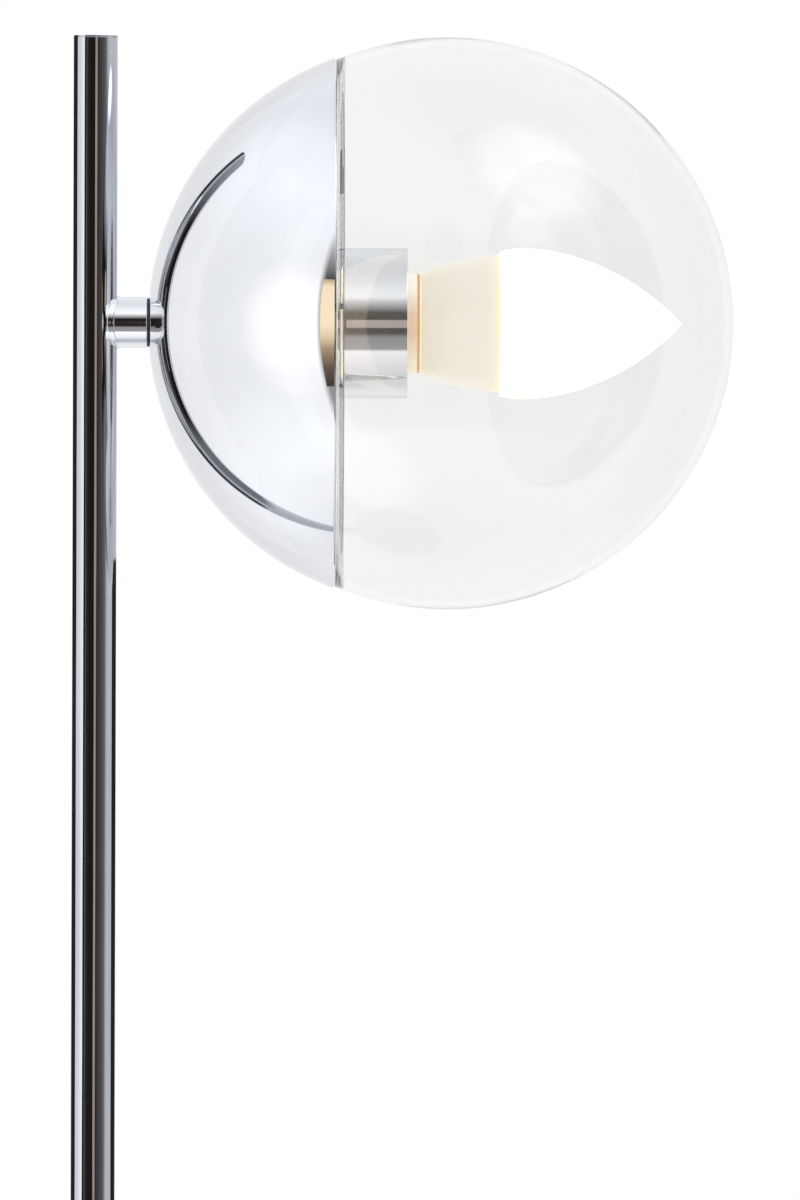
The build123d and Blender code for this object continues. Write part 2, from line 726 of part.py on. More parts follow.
with BuildPart() as holder_screws:
    terminal_spots = [(terminal_back_x + terminal_l / 2, y) for y in terminal_ys]
    with BuildSketch(Plane.XY.offset(head_z + lead_d / 2 + fit_gap)):
        with Locations(*terminal_spots):
            Circle(holder_screw_d / 2)
    extrude(amount=terminal_h / 2 + holder_screw_head_t - lead_d / 2 - fit_gap)
    with BuildSketch(Plane.XY.offset(head_z + terminal_h / 2)):
        with Locations(*terminal_spots):
            Circle(holder_screw_head_d / 2)
    extrude(amount=holder_screw_head_t)
    with BuildSketch(Plane.XY.offset(head_z + terminal_h / 2 + holder_screw_head_t / 2)):
        with Locations(*terminal_spots):
            Rectangle(holder_screw_head_d, holder_slot_w)
    extrude(amount=holder_screw_head_t / 2, mode=Mode.SUBTRACT)
finish(holder_screws.part, "holder_screws")

# Threaded brass shell that the bulb's cap screws into, standing on the core.
socket_root_r = thread_root_r + thread_gap
socket_crest_r = thread_crest_r + thread_gap
socket_outer_r = socket_crest_r + shell_wall
with BuildPart() as screw_shell:
    inner_side = ring_thread(thread_back_x, thread_front_x, socket_root_r, socket_crest_r)
    turned(
        [(core_front_x, socket_crest_r)]
        + [(thread_back_x - shell_wall, socket_crest_r)]
        + inner_side
        + [(thread_front_x, socket_outer_r), (core_front_x, socket_outer_r)]
    )
finish(screw_shell.part, "screw_shell")

# Springy centre contact, a folded strip that stops just short of the bulb's button.
with BuildPart() as centre_contact:
    contact_front_x = button_back_x - fit_gap
    with BuildSketch(head_plane().offset(-contact_w / 2)):
        with Locations((core_front_x + contact_t / 2, 0)):
            Rectangle(contact_t, contact_reach * 2)
        with BuildLine():
            Polyline(
                (core_front_x, -contact_reach),
                (core_front_x + contact_t, -contact_reach),
                (contact_front_x, 0),
                (contact_front_x, contact_reach / 2),
                (contact_front_x - contact_t, contact_reach / 2),
                (contact_front_x - contact_t, 0),
                close=True,
            )
        make_face()
    extrude(amount=contact_w)
finish(centre_contact.part, "centre_contact")

# ---------------------------------------------------------------- bulb

# Threaded cap of the bulb.
with BuildPart() as bulb_cap:
    outer_side = ring_thread(thread_back_x, thread_front_x, thread_root_r, thread_crest_r)
    turned(
        [(thread_back_x, bulb_cap_bore_r)]
        + outer_side
        + [(bulb_cap_front_x, thread_crest_r), (bulb_cap_front_x, bulb_cap_bore_r)]
    )
finish(bulb_cap.part, "bulb_cap")

# Black insulating cone behind the cap.
insulator_back_x = thread_back_x - bulb_insulator_l
with BuildPart() as bulb_insulator:
    turned(
        [
            (insulator_back_x, 0),
            (insulator_back_x, bulb_insulator_r),
            (thread_back_x, thread_root_r),
            (thread_back_x, 0),
        ]
    )
finish(bulb_insulator.part, "bulb_insulator")

with BuildPart() as bulb_button:
    ring(button_back_x, insulator_back_x, 0, bulb_button_d / 2)
    fillet(bulb_button.edges().group_by(Axis.X)[0], bulb_button_t / 2)
finish(bulb_button.part, "bulb_button")

# White plastic body that widens from the cap to the diffuser.
neck_inner_r = bulb_cap_bore_r - fit_gap - bulb_neck_wall
with BuildPart() as bulb_body:
    widening = bulb_body_r - bulb_shoulder_r
    belly = [(bulb_body_back_x, bulb_shoulder_r)]
    for along, out in (body_swell_shares, body_belly_shares):
        belly.append((bulb_body_back_x + bulb_body_l * along, bulb_shoulder_r + widening * out))
    belly.append((bulb_joint_x, bulb_body_r))
    with BuildSketch(head_plane()) as body_section:
        with BuildLine():
            outer = Spline(*belly, tangents=[body_rear_slope, body_front_slope])
            Polyline(
                outer @ 0,
                (bulb_body_back_x, bulb_neck_r),
                (bulb_cap_front_x, thread_crest_r + bulb_wall / 2),
                (bulb_cap_front_x, bulb_cap_bore_r - fit_gap),
                (thread_back_x + bulb_wall, bulb_cap_bore_r - fit_gap),
                (thread_back_x + bulb_wall, neck_inner_r),
                (bulb_body_back_x + bulb_wall, neck_inner_r),
                (bulb_body_back_x + bulb_wall, bulb_shoulder_r - bulb_wall),
                (belly[1][0] + bulb_wall, belly[1][1] - bulb_wall),
                (led_board_x, belly[2][1] - bulb_wall),
                (led_board_x, led_board_r + slip_gap),
                (led_board_x + led_board_t, led_board_r + slip_gap),
                (led_board_x + led_board_t, bulb_body_r - bulb_wall),
                (bulb_joint_x, bulb_body_r - bulb_wall),
                outer @ 1,
            )
        make_face()
    revolve(axis=head_axis)
finish(bulb_body.part, "bulb_body")

# Frosted diffuser, a candle flame shape with a lip inside the body.


def flame_side(joint_r, belly_r, tip_x):
    """Side of the flame shape from the joint over the belly to the tip, as two curves."""
    reach = tip_x - bulb_joint_x
    swell_x = bulb_joint_x + reach * flame_swell_share
    belly_x = bulb_joint_x + reach * flame_belly_share
    rise = Bezier((bulb_joint_x, joint_r), (swell_x, belly_r), (belly_x, belly_r))
    fall = Bezier(
        (belly_x, belly_r),
        (bulb_joint_x + reach * flame_fall_share, belly_r),
        (bulb_joint_x + reach * flame_point_share, belly_r * flame_point_width),
        (tip_x, 0),
    )
    return rise, fall


lip_outer_r = bulb_body_r - bulb_wall - fit_gap
lip_back = bulb_joint_x - diffuser_lip_l
hollow_tip_x = bulb_tip_x - diffuser_tip_t
outside = flame_side(bulb_body_r, diffuser_belly_r, bulb_tip_x)
inside = flame_side(lip_outer_r - diffuser_wall, diffuser_belly_r - diffuser_wall, hollow_tip_x)
with BuildPart() as bulb_diffuser:
    with BuildSketch(head_plane()):
        with BuildLine():
            add(outside)
            add(inside)
            Line((hollow_tip_x, 0), (bulb_tip_x, 0))
            Polyline(
                (bulb_joint_x, bulb_body_r),
                (bulb_joint_x, lip_outer_r),
                (lip_back, lip_outer_r),
                (lip_back, lip_outer_r - diffuser_wall),
                (bulb_joint_x, lip_outer_r - diffuser_wall),
            )
        make_face()
    revolve(axis=head_axis)
finish(bulb_diffuser.part, "bulb_diffuser")

# Round board with the light sources, seated on a ledge of the body.
with BuildPart() as led_board:
    ring(led_board_x, led_board_x + led_board_t, 0, led_board_r)
    with BuildSketch(across_head(led_board_x)):
        with Locations((0, 0)):
            Rectangle(driver_w + slip_gap, driver_t + slip_gap)
    extrude(amount=led_board_t, mode=Mode.SUBTRACT)
finish(led_board.part, "led_board")

with BuildPart() as led_chips:
    with BuildSketch(across_head(led_board_x + led_board_t)):
        with PolarLocations(led_circle_r, led_count):
            Rectangle(led_size, led_size)
    extrude(amount=led_t)
finish(led_chips.part, "led_chips")

# Driver board on edge in the neck, plugged into the light board.
driver_front_x = led_board_x + led_board_t
with BuildPart() as driver_board:
    with BuildSketch(across_head(driver_front_x - driver_l)):
        Rectangle(driver_w, driver_t)
    extrude(amount=driver_l)
finish(driver_board.part, "driver_board")

with BuildPart() as driver_capacitor:
    capacitor_plane = Plane(
        origin=(led_board_x - capacitor_l - slip_gap, 0, head_z + driver_t / 2 + capacitor_d / 2),
        z_dir=(1, 0, 0),
    )
    with BuildSketch(capacitor_plane):
        Circle(capacitor_d / 2)
    extrude(amount=capacitor_l)
finish(driver_capacitor.part, "driver_capacitor")

# ---------------------------------------------------------------- glass

# Blown globe, open towards the dome, with a lip that slides into the dome's rim.
lip_inner_r = lip_r - glass_wall
with BuildPart() as glass_globe:
    with BuildSketch(head_plane()):
        globe_span = glass_centre_x + glass_r - glass_back_x
        with Locations((glass_centre_x, 0)):
            Circle(glass_r)
        with Locations((glass_back_x + globe_span / 2, glass_r / 2)):
            Rectangle(globe_span, glass_r, mode=Mode.INTERSECT)
        with BuildSketch(head_plane(), mode=Mode.PRIVATE) as globe_hollow:
            hollow_back_x = glass_back_x + glass_wall
            hollow_span = glass_centre_x + glass_r - hollow_back_x
            with Locations((glass_centre_x, 0)):
                Circle(glass_r - glass_wall)
            with Locations((hollow_back_x + hollow_span / 2, 0)):
                Rectangle(hollow_span, glass_r * 2, mode=Mode.INTERSECT)
            with Locations((glass_back_x + glass_wall / 2, 0)):
                Rectangle(glass_wall * 2, lip_inner_r * 2)
        add(globe_hollow.sketch_local, mode=Mode.SUBTRACT)
        with Locations((lip_back_x + lip_l / 2, lip_r - glass_wall / 2)):
            Rectangle(lip_l, glass_wall)
    revolve(axis=head_axis)
finish(glass_globe.part, "glass_globe")

# Spring clips spot-welded inside the dome: a foot on the dome and a finger along the glass's lip.
with BuildPart() as glass_clips:
    finger_back_x = lip_back_x - clip_t
    foot_front_angle = math.acos((dome_centre_x - finger_back_x) / dome_inner_r)
    foot_angle = clip_foot_l / dome_inner_r
    for index in range(clip_count):
        angle = clip_first_angle + index * 360 / clip_count - clip_span / 2
        with BuildSketch(head_plane(angle)) as clip_section:
            with BuildSketch(head_plane(angle), mode=Mode.PRIVATE) as foot:
                with Locations((dome_centre_x, 0)):
                    Circle(dome_inner_r - fit_gap)
                    Circle(dome_inner_r - fit_gap - clip_t, mode=Mode.SUBTRACT)
                foot_back_x = dome_centre_x - dome_inner_r * math.cos(foot_front_angle - foot_angle)
                with Locations(((foot_back_x + finger_back_x) / 2, dome_r / 2)):
                    Rectangle(finger_back_x - foot_back_x, dome_r, mode=Mode.INTERSECT)
            add(foot.sketch_local)
            with BuildLine():
                foot_r = math.sqrt((dome_inner_r - fit_gap) ** 2 - (dome_centre_x - finger_back_x) ** 2)
                Polyline(
                    (finger_back_x, foot_r),
                    (finger_back_x, foot_r - clip_knee),
                    (lip_back_x, clip_inner_r),
                    (glass_back_x - clip_tip_l - slip_gap * 2, clip_inner_r),
                    (glass_back_x - slip_gap * 2, clip_inner_r + clip_tip_lift),
                    (glass_back_x - slip_gap * 2, clip_inner_r + clip_tip_lift + clip_t),
                    (glass_back_x - clip_tip_l - slip_gap * 2, clip_inner_r + clip_t),
                    (lip_back_x + clip_t, clip_inner_r + clip_t),
                    close=True,
                )
            make_face()
        revolve(clip_section.sketch, axis=head_axis, revolution_arc=clip_span)
finish(glass_clips.part, "glass_clips")

# ---------------------------------------------------------------- leads


def lead_route(side):
    """Route of one lead from its barrel through the stem, arm and nipple to its terminal."""
    lane = side * lead_side
    barrel_front_x = block_x + barrel_l / 2
    return [
        (barrel_front_x - terminal_l, side * way_pitch, way_z),
        (barrel_front_x + lead_straight_l, side * way_pitch, way_z),
        (barrel_front_x + lead_slope_l, side * way_pitch * lead_slope_share, lead_floor_z),
        (lead_rise_x, lane, lead_floor_z),
        (lead_rise_x, lane, head_z),
        (nipple_front_x + lead_fan_start, lane, head_z),
        (holder_joint_x - lead_fan_end, side * terminal_y, head_z),
        (terminal_back_x + terminal_l * lead_end_share, side * terminal_y, head_z),
    ]


lead_radii = [lead_leave_r, lead_floor_r, lead_exit_r, lead_bend_r, lead_fan_r, lead_end_r]
finish(lead_tube(lead_route(-1), lead_radii), "live_lead")
finish(lead_tube(lead_route(1), lead_radii), "neutral_lead")

# Short earth lead from the middle way to the tag.
with BuildPart() as earth_lead:
    earth_back_x = block_x + barrel_l / 2 - terminal_l
    with BuildSketch(Plane(origin=(earth_back_x, 0, way_z), z_dir=(1, 0, 0))):
        Circle(lead_d / 2)
    extrude(amount=crimp_front_x - earth_back_x)
finish(earth_lead.part, "earth_lead")
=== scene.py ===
import math

import bmesh
import bpy
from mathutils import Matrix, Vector


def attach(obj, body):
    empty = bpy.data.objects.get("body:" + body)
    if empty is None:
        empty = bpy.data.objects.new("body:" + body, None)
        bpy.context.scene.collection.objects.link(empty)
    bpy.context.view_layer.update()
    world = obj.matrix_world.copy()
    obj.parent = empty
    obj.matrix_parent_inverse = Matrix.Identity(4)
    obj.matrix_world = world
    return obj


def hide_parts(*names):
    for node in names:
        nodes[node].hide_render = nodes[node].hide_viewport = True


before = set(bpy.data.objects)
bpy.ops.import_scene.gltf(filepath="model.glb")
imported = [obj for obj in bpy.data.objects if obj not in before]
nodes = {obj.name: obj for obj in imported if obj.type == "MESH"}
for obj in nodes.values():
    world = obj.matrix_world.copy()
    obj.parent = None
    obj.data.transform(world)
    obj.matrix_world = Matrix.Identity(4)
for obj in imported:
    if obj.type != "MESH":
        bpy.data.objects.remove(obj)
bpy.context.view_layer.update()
scene = bpy.context.scene

# Everything is drawn in metres; sizes are written in millimetres and multiplied by mm.
mm = 0.001

lamp = {
    "totalHeight": 480.0,
    "headHeight": 404.8,  # axis of the head above the table
    "flatX": 14.2,  # the dome's flat pole, from the stem's axis
    "domeR": 73.9,
    "armR": 6.7,
    "rimBack": 25.0,  # the open rim, behind the dome's centre
}
lamp["domeX"] = lamp["flatX"] + math.sqrt(lamp["domeR"] ** 2 - lamp["armR"] ** 2)
lamp["rimX"] = lamp["domeX"] - lamp["rimBack"]
headAxis = (Vector((0, 0, lamp["headHeight"])), Vector((1, 0, 0)), Vector((0, 0, 1)))
stemAxis = (Vector((0, 0, 0)), Vector((0, 0, 1)), Vector((1, 0, 0)))


# sRGB hex to linear
def colour(hexText, alpha=1.0):
    parts = [int(hexText[i:i + 2], 16) / 255 for i in (0, 2, 4)]
    return [c / 12.92 if c <= 0.04045 else ((c + 0.055) / 1.055) ** 2.4 for c in parts] + [alpha]


# One node with its settings. links is {input: output of another node}, feeds is {output: input of another node},
# and stops is {place: hex} for a colour ramp.
def addNode(tree, kind, settings=None, inputs=None, links=None, feeds=None, stops=None):
    node = tree.nodes.new(kind)
    for key, value in (settings or {}).items():
        setattr(node, key, value)
    for key, value in (inputs or {}).items():
        node.inputs[key].default_value = value
    for key, socket in (links or {}).items():
        tree.links.new(socket, node.inputs[key])
    for key, socket in (feeds or {}).items():
        tree.links.new(node.outputs[key], socket)
    if stops:
        elements = node.color_ramp.elements
        places = sorted(stops)
        elements[0].position, elements[1].position = places[0], places[-1]
        for place in places[1:-1]:
            elements.new(place)
        for element, place in zip(elements, places):
            element.color = colour(stops[place])
    return node


def newMaterial(name, **surface):
    material = bpy.data.materials.new(name)
    material.use_nodes = True
    shader = material.node_tree.nodes["Principled BSDF"]
    for key, value in surface.items():
        shader.inputs[key.replace("_", " ")].default_value = value
    return material, material.node_tree, shader


# Replaces the corners that have a radius by arcs; a corner is (along, out) or (along, out, radius). A ring just outside
# each end of an arc keeps the smooth shading of the long faces next to it straight.
shadingGap = 0.05  # from the arc's end to that ring


def roundCorners(corners, steps=5):
    points = []
    for i, corner in enumerate(corners):
        here = Vector(corner[:2])
        radius = corner[2] if len(corner) > 2 else 0
        if not radius:
            points.append(here)
            continue
        before = (Vector(corners[i - 1][:2]) - here).normalized()
        after = (Vector(corners[(i + 1) % len(corners)][:2]) - here).normalized()
        half = before.angle(after) / 2
        reach = radius / math.tan(half)
        centre = here + (before + after).normalized() * (radius / math.sin(half))
        start, end = (here + before * reach - centre).normalized(), (here + after * reach - centre).normalized()
        points.append(here + before * (reach + shadingGap))
        for step in range(steps + 1):
            points.append(centre + start.slerp(end, step / steps).normalized() * radius)
        points.append(here + after * (reach + shadingGap))
    return points


def arcOf(centreX, radius, startDegrees, endDegrees, steps):
    points = []
    for step in range(steps + 1):
        angle = math.radians(startDegrees + (endDegrees - startDegrees) * step / steps)
        points.append(Vector((centreX + radius * math.cos(angle), radius * math.sin(angle))))
    return points


def bezierOf(ends, steps):
    points = []
    for step in range(steps + 1):
        t = step / steps
        row = [Vector(p) for p in ends]
        while len(row) > 1:
            row = [a.lerp(b, t) for a, b in zip(row, row[1:])]
        points.append(row[0])
    return points


# Turns a profile of (along, out) round an axis. shape(along, out, angle) may change the radius.
def turned(name, profile, axis, body, replaced=(), closed=True, steps=128, sharp=40, shape=None):
    origin, along, up = axis
    side = along.cross(up)
    mesh = bmesh.new()
    rings = []
    for a, r in profile:
        if r < 1e-6:
            rings.append([mesh.verts.new((origin + along * a) * mm)])
            continue
        ring = []
        for i in range(steps):
            angle = 2 * math.pi * i / steps
            out = shape(a, r, angle) if shape else r
            outward = up * math.cos(angle) + side * math.sin(angle)
            ring.append(mesh.verts.new((origin + along * a + outward * out) * mm))
        rings.append(ring)
    pairs = list(zip(rings, rings[1:])) + ([(rings[-1], rings[0])] if closed else [])
    for one, two in pairs:
        for i in range(steps):
            j = (i + 1) % steps
            if len(one) == 1 and len(two) == 1:
                break
            corners = [one[i % len(one)], one[j % len(one)], two[j % len(two)], two[i % len(two)]]
            mesh.faces.new(list(dict.fromkeys(corners)))
    return makePiece(name, mesh, body, replaced, sharp)


def makePiece(name, mesh, body, replaced=(), sharp=40):
    bmesh.ops.recalc_face_normals(mesh, faces=mesh.faces)
    data = bpy.data.meshes.new(name)
    mesh.to_mesh(data)
    mesh.free()
    for face in data.polygons:
        face.use_smooth = True
    data.set_sharp_from_angle(angle=math.radians(sharp))
    piece = bpy.data.objects.new(name, data)
    scene.collection.objects.link(piece)
    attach(piece, body)
    if replaced:
        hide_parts(*replaced)
    return piece


def dress(piece, material):
    piece.data.materials.clear()
    piece.data.materials.append(material)


finishes = {
    "chromeBase": "DDDEE0",
    "turnedBase": "E4E5E7",
    "tubeBase": "C0C3C8",
    "chromeRoughness": 0.03,
    "domeWave": 26.0,  # mm between the shallow waves that spinning leaves
    "domeRound": 167.0,  # mm that one of those waves runs round the dome
    "smear": 14.3,  # mm across the faint smears of the polishing cloth
    "tubeWave": 56.0,  # mm between the waves that the drawing bench leaves along the tube
    "dieLine": 2.38,  # mm between the lines of the drawing die, coarser than the real 0.1 so that they show
    "latheRing": 0.4,  # mm between the rings of the lathe tool, coarser than the real 0.1 so that they show
    "latheRound": 50.0,  # mm that one of those rings runs round the part
    "glassTint": "F9F9F8",
    "glassWave": 45.5,  # mm between the slow waves of the mould in the glass
    "creamPlastic": "F9F2E4",
    "resinGrain": 1.1,  # mm, coarser than the real 0.2 so that it shows
    "bodyPlastic": "F7F2E7",
    "bodyGrain": 0.91,  # mm, coarser than the real 0.2 so that it shows
    "glowColour": "FFE4C2",
    "glowStrength": 2.2,
    "powder": 3.85,  # mm between the denser and thinner clouds of powder in the diffuser
}

# Bright chromium plate over a spun and buffed steel shell: mirror-like, with shallow rings that bend reflections
chromeSpun, tree, shader = newMaterial(
    "bright chrome plate on spun steel", Base_Color=colour(finishes["chromeBase"]), Metallic=1.0,
    Roughness=finishes["chromeRoughness"])
place = addNode(tree, "ShaderNodeTexCoord")
rings = addNode(tree, "ShaderNodeMapping", links={"Vector": place.outputs["Object"]}, inputs={
    "Scale": (1000 / finishes["domeWave"], 1000 / finishes["domeRound"], 1000 / finishes["domeRound"])})
waves = addNode(tree, "ShaderNodeTexNoise", inputs={"Scale": 1.0, "Detail": 1.0}, links={"Vector": rings.outputs[0]})
addNode(tree, "ShaderNodeBump", inputs={"Strength": 0.6, "Distance": 0.0002},
        links={"Height": waves.outputs["Fac"]}, feeds={"Normal": shader.inputs["Normal"]})
smear = addNode(tree, "ShaderNodeTexNoise", inputs={"Scale": 1000 / finishes["smear"], "Detail": 3.0},
                links={"Vector": place.outputs["Object"]})
addNode(tree, "ShaderNodeValToRGB", links={"Fac": smear.outputs["Fac"]},
        stops={0.35: "D9DADD", 0.7: finishes["chromeBase"]}, feeds={"Color": shader.inputs["Base Color"]})

# The same plate on drawn tube: the die leaves faint lines along it
chromeTube, tree, shader = newMaterial(
    "bright chrome plate on drawn tube", Base_Color=colour(finishes["tubeBase"]), Metallic=1.0,
    Roughness=finishes["chromeRoughness"])
place = addNode(tree, "ShaderNodeTexCoord")
lines = addNode(tree, "ShaderNodeMapping", links={"Vector": place.outputs["Object"]}, inputs={
    "Scale": (1000 / finishes["dieLine"], 1000 / finishes["dieLine"], 1000 / finishes["tubeWave"])})
waves = addNode(tree, "ShaderNodeTexNoise", inputs={"Scale": 1.0, "Detail": 1.0}, links={"Vector": lines.outputs[0]})
addNode(tree, "ShaderNodeBump", inputs={"Strength": 0.5, "Distance": 0.00004},
        links={"Height": waves.outputs["Fac"]}, feeds={"Normal": shader.inputs["Normal"]})
addNode(tree, "ShaderNodeValToRGB", links={"Fac": waves.outputs["Fac"]},
        stops={0.3: "B9BCC1", 0.7: finishes["tubeBase"]}, feeds={"Color": shader.inputs["Base Color"]})

# Chrome on turned parts: fine lathe rings under the plate
chromeTurned, tree, shader = newMaterial(
    "bright chrome plate on turned steel", Base_Color=colour(finishes["turnedBase"]), Metallic=1.0,
    Roughness=finishes["chromeRoughness"])
place = addNode(tree, "ShaderNodeTexCoord")
lathe = addNode(tree, "ShaderNodeMapping", links={"Vector": place.outputs["Object"]}, inputs={
    "Scale": (1000 / finishes["latheRing"], 1000 / finishes["latheRound"], 1000 / finishes["latheRound"])})
waves = addNode(tree, "ShaderNodeTexNoise", inputs={"Scale": 1.0, "Detail": 1.0}, links={"Vector": lathe.outputs[0]})
addNode(tree, "ShaderNodeBump", inputs={"Strength": 0.5, "Distance": 0.0000012},
        links={"Height": waves.outputs["Fac"]}, feeds={"Normal": shader.inputs["Normal"]})
addNode(tree, "ShaderNodeValToRGB", links={"Fac": waves.outputs["Fac"]},
        stops={0.3: "E2E3E5", 0.7: finishes["turnedBase"]}, feeds={"Color": shader.inputs["Base Color"]})

# Clear soda-lime glass, blown in a mould: no colour, with slow waves in its skin
clearGlass, tree, shader = newMaterial(
    "clear blown glass", Base_Color=colour(finishes["glassTint"]), Roughness=0.0, IOR=1.5, Transmission_Weight=1.0)
place = addNode(tree, "ShaderNodeTexCoord")
waves = addNode(tree, "ShaderNodeTexNoise", inputs={"Scale": 1000 / finishes["glassWave"], "Detail": 1.0},
                links={"Vector": place.outputs["Object"]})
addNode(tree, "ShaderNodeBump", inputs={"Strength": 0.25, "Distance": 0.0003},
        links={"Height": waves.outputs["Fac"]}, feeds={"Normal": shader.inputs["Normal"]})
addNode(tree, "ShaderNodeValToRGB", links={"Fac": waves.outputs["Fac"]},
        stops={0.3: "F7F7F6", 0.7: finishes["glassTint"]}, feeds={"Color": shader.inputs["Base Color"]})

# Moulded urea resin of a lampholder: creamy and slightly glossy. Its lip has a painted orange colour and a painted
# orange glow, and a painted glow runs round it by height, standing in for light and shade
creamResin, tree, shader = newMaterial("cream urea resin with painted glow", Roughness=0.35, IOR=1.5)
place = addNode(tree, "ShaderNodeTexCoord")
split = addNode(tree, "ShaderNodeSeparateXYZ", links={"Vector": place.outputs["Object"]})
# The lip's orange base colour past this mask is painted light, not the resin's own colour
toLip = addNode(tree, "ShaderNodeMapRange", inputs={"From Min": 0.0815, "From Max": 0.0851},
                links={"Value": split.outputs["X"]})
addNode(tree, "ShaderNodeValToRGB", links={"Fac": toLip.outputs["Result"]},
        stops={0.0: finishes["creamPlastic"], 0.78: finishes["creamPlastic"], 0.84: "E4BE90", 1.0: "E0B888"},
        feeds={"Color": shader.inputs["Base Color"]})
paintedLipGlowShare = addNode(tree, "ShaderNodeValToRGB", links={"Fac": toLip.outputs["Result"]},
                   stops={0.78: "000000", 0.84: "FFFFFF"})
# Painted light and shade by height: the glow is orange and dimmer in the middle, paler at the top and bottom
height = addNode(tree, "ShaderNodeMapRange", inputs={"From Min": 0.3918, "From Max": 0.4178},
                 links={"Value": split.outputs["Z"]})
paintedGlowByHeight = addNode(tree, "ShaderNodeValToRGB", links={"Fac": height.outputs["Result"]}, stops={
    0.0: "A89E88", 0.12: "A89E88", 0.38: "90622A", 0.58: "90622A", 0.88: "B6B5B0", 1.0: "B6B5B0"})
glow = addNode(tree, "ShaderNodeMix", {"data_type": "RGBA"}, {7: colour("735310")},
               {0: paintedLipGlowShare.outputs["Color"], 6: paintedGlowByHeight.outputs["Color"]})
tree.links.new(glow.outputs[2], shader.inputs["Emission Color"])
shader.inputs["Emission Strength"].default_value = 1.0
grain = addNode(tree, "ShaderNodeTexNoise", inputs={"Scale": 1000 / finishes["resinGrain"], "Detail": 2.0},
                links={"Vector": place.outputs["Object"]})
addNode(tree, "ShaderNodeBump", inputs={"Strength": 0.3, "Distance": 0.00003},
        links={"Height": grain.outputs["Fac"]}, feeds={"Normal": shader.inputs["Normal"]})

# Moulded polycarbonate body of the bulb: white and satin, with a painted glow over it and a painted warm tint towards
# the diffuser
bulbPlastic, tree, shader = newMaterial("white polycarbonate with painted glow", Roughness=0.3, IOR=1.58)
place = addNode(tree, "ShaderNodeTexCoord")
split = addNode(tree, "ShaderNodeSeparateXYZ", links={"Vector": place.outputs["Object"]})
toJoint = addNode(tree, "ShaderNodeMapRange", inputs={"From Min": 0.0855, "From Max": 0.1062},
                  links={"Value": split.outputs["X"]})
# Painted light: the base colour turns warm towards the joint with the diffuser
addNode(tree, "ShaderNodeValToRGB", links={"Fac": toJoint.outputs["Result"]},
        stops={0.0: "F6EFE0", 0.6: finishes["bodyPlastic"], 0.92: "F8F0DE", 1.0: "F8E7C6"},
        feeds={"Color": shader.inputs["Base Color"]})
# Painted glow: this emission stands in for light falling on the body, which has no light of its own
addNode(tree, "ShaderNodeValToRGB", links={"Fac": toJoint.outputs["Result"]},
        stops={0.0: "B3AA9B", 0.25: "ABA69C", 0.8: "A39F95", 0.93: "ACA598", 1.0: "B09D83"},
        feeds={"Color": shader.inputs["Emission Color"]})
shader.inputs["Emission Strength"].default_value = 1.0
grain = addNode(tree, "ShaderNodeTexNoise", inputs={"Scale": 1000 / finishes["bodyGrain"], "Detail": 2.0},
                links={"Vector": place.outputs["Object"]})
addNode(tree, "ShaderNodeBump", inputs={"Strength": 0.3, "Distance": 0.00002},
        links={"Height": grain.outputs["Fac"]}, feeds={"Normal": shader.inputs["Normal"]})

# Blow-moulded diffuser with light-scattering powder in it: glows evenly and almost white
frostedDiffuser, tree, shader = newMaterial(
    "frosted opal polycarbonate", Base_Color=colour("F7F3EA"), Roughness=0.5, IOR=1.58,
    Emission_Strength=finishes["glowStrength"])
place = addNode(tree, "ShaderNodeTexCoord")
powder = addNode(tree, "ShaderNodeTexNoise", inputs={"Scale": 1000 / finishes["powder"], "Detail": 3.0},
                 links={"Vector": place.outputs["Object"]})
addNode(tree, "ShaderNodeValToRGB", links={"Fac": powder.outputs["Fac"]},
        stops={0.3: finishes["glowColour"], 0.7: "FFEACF"}, feeds={"Color": shader.inputs["Emission Color"]})
addNode(tree, "ShaderNodeBump", inputs={"Strength": 0.3, "Distance": 0.00004},
        links={"Height": powder.outputs["Fac"]}, feeds={"Normal": shader.inputs["Normal"]})

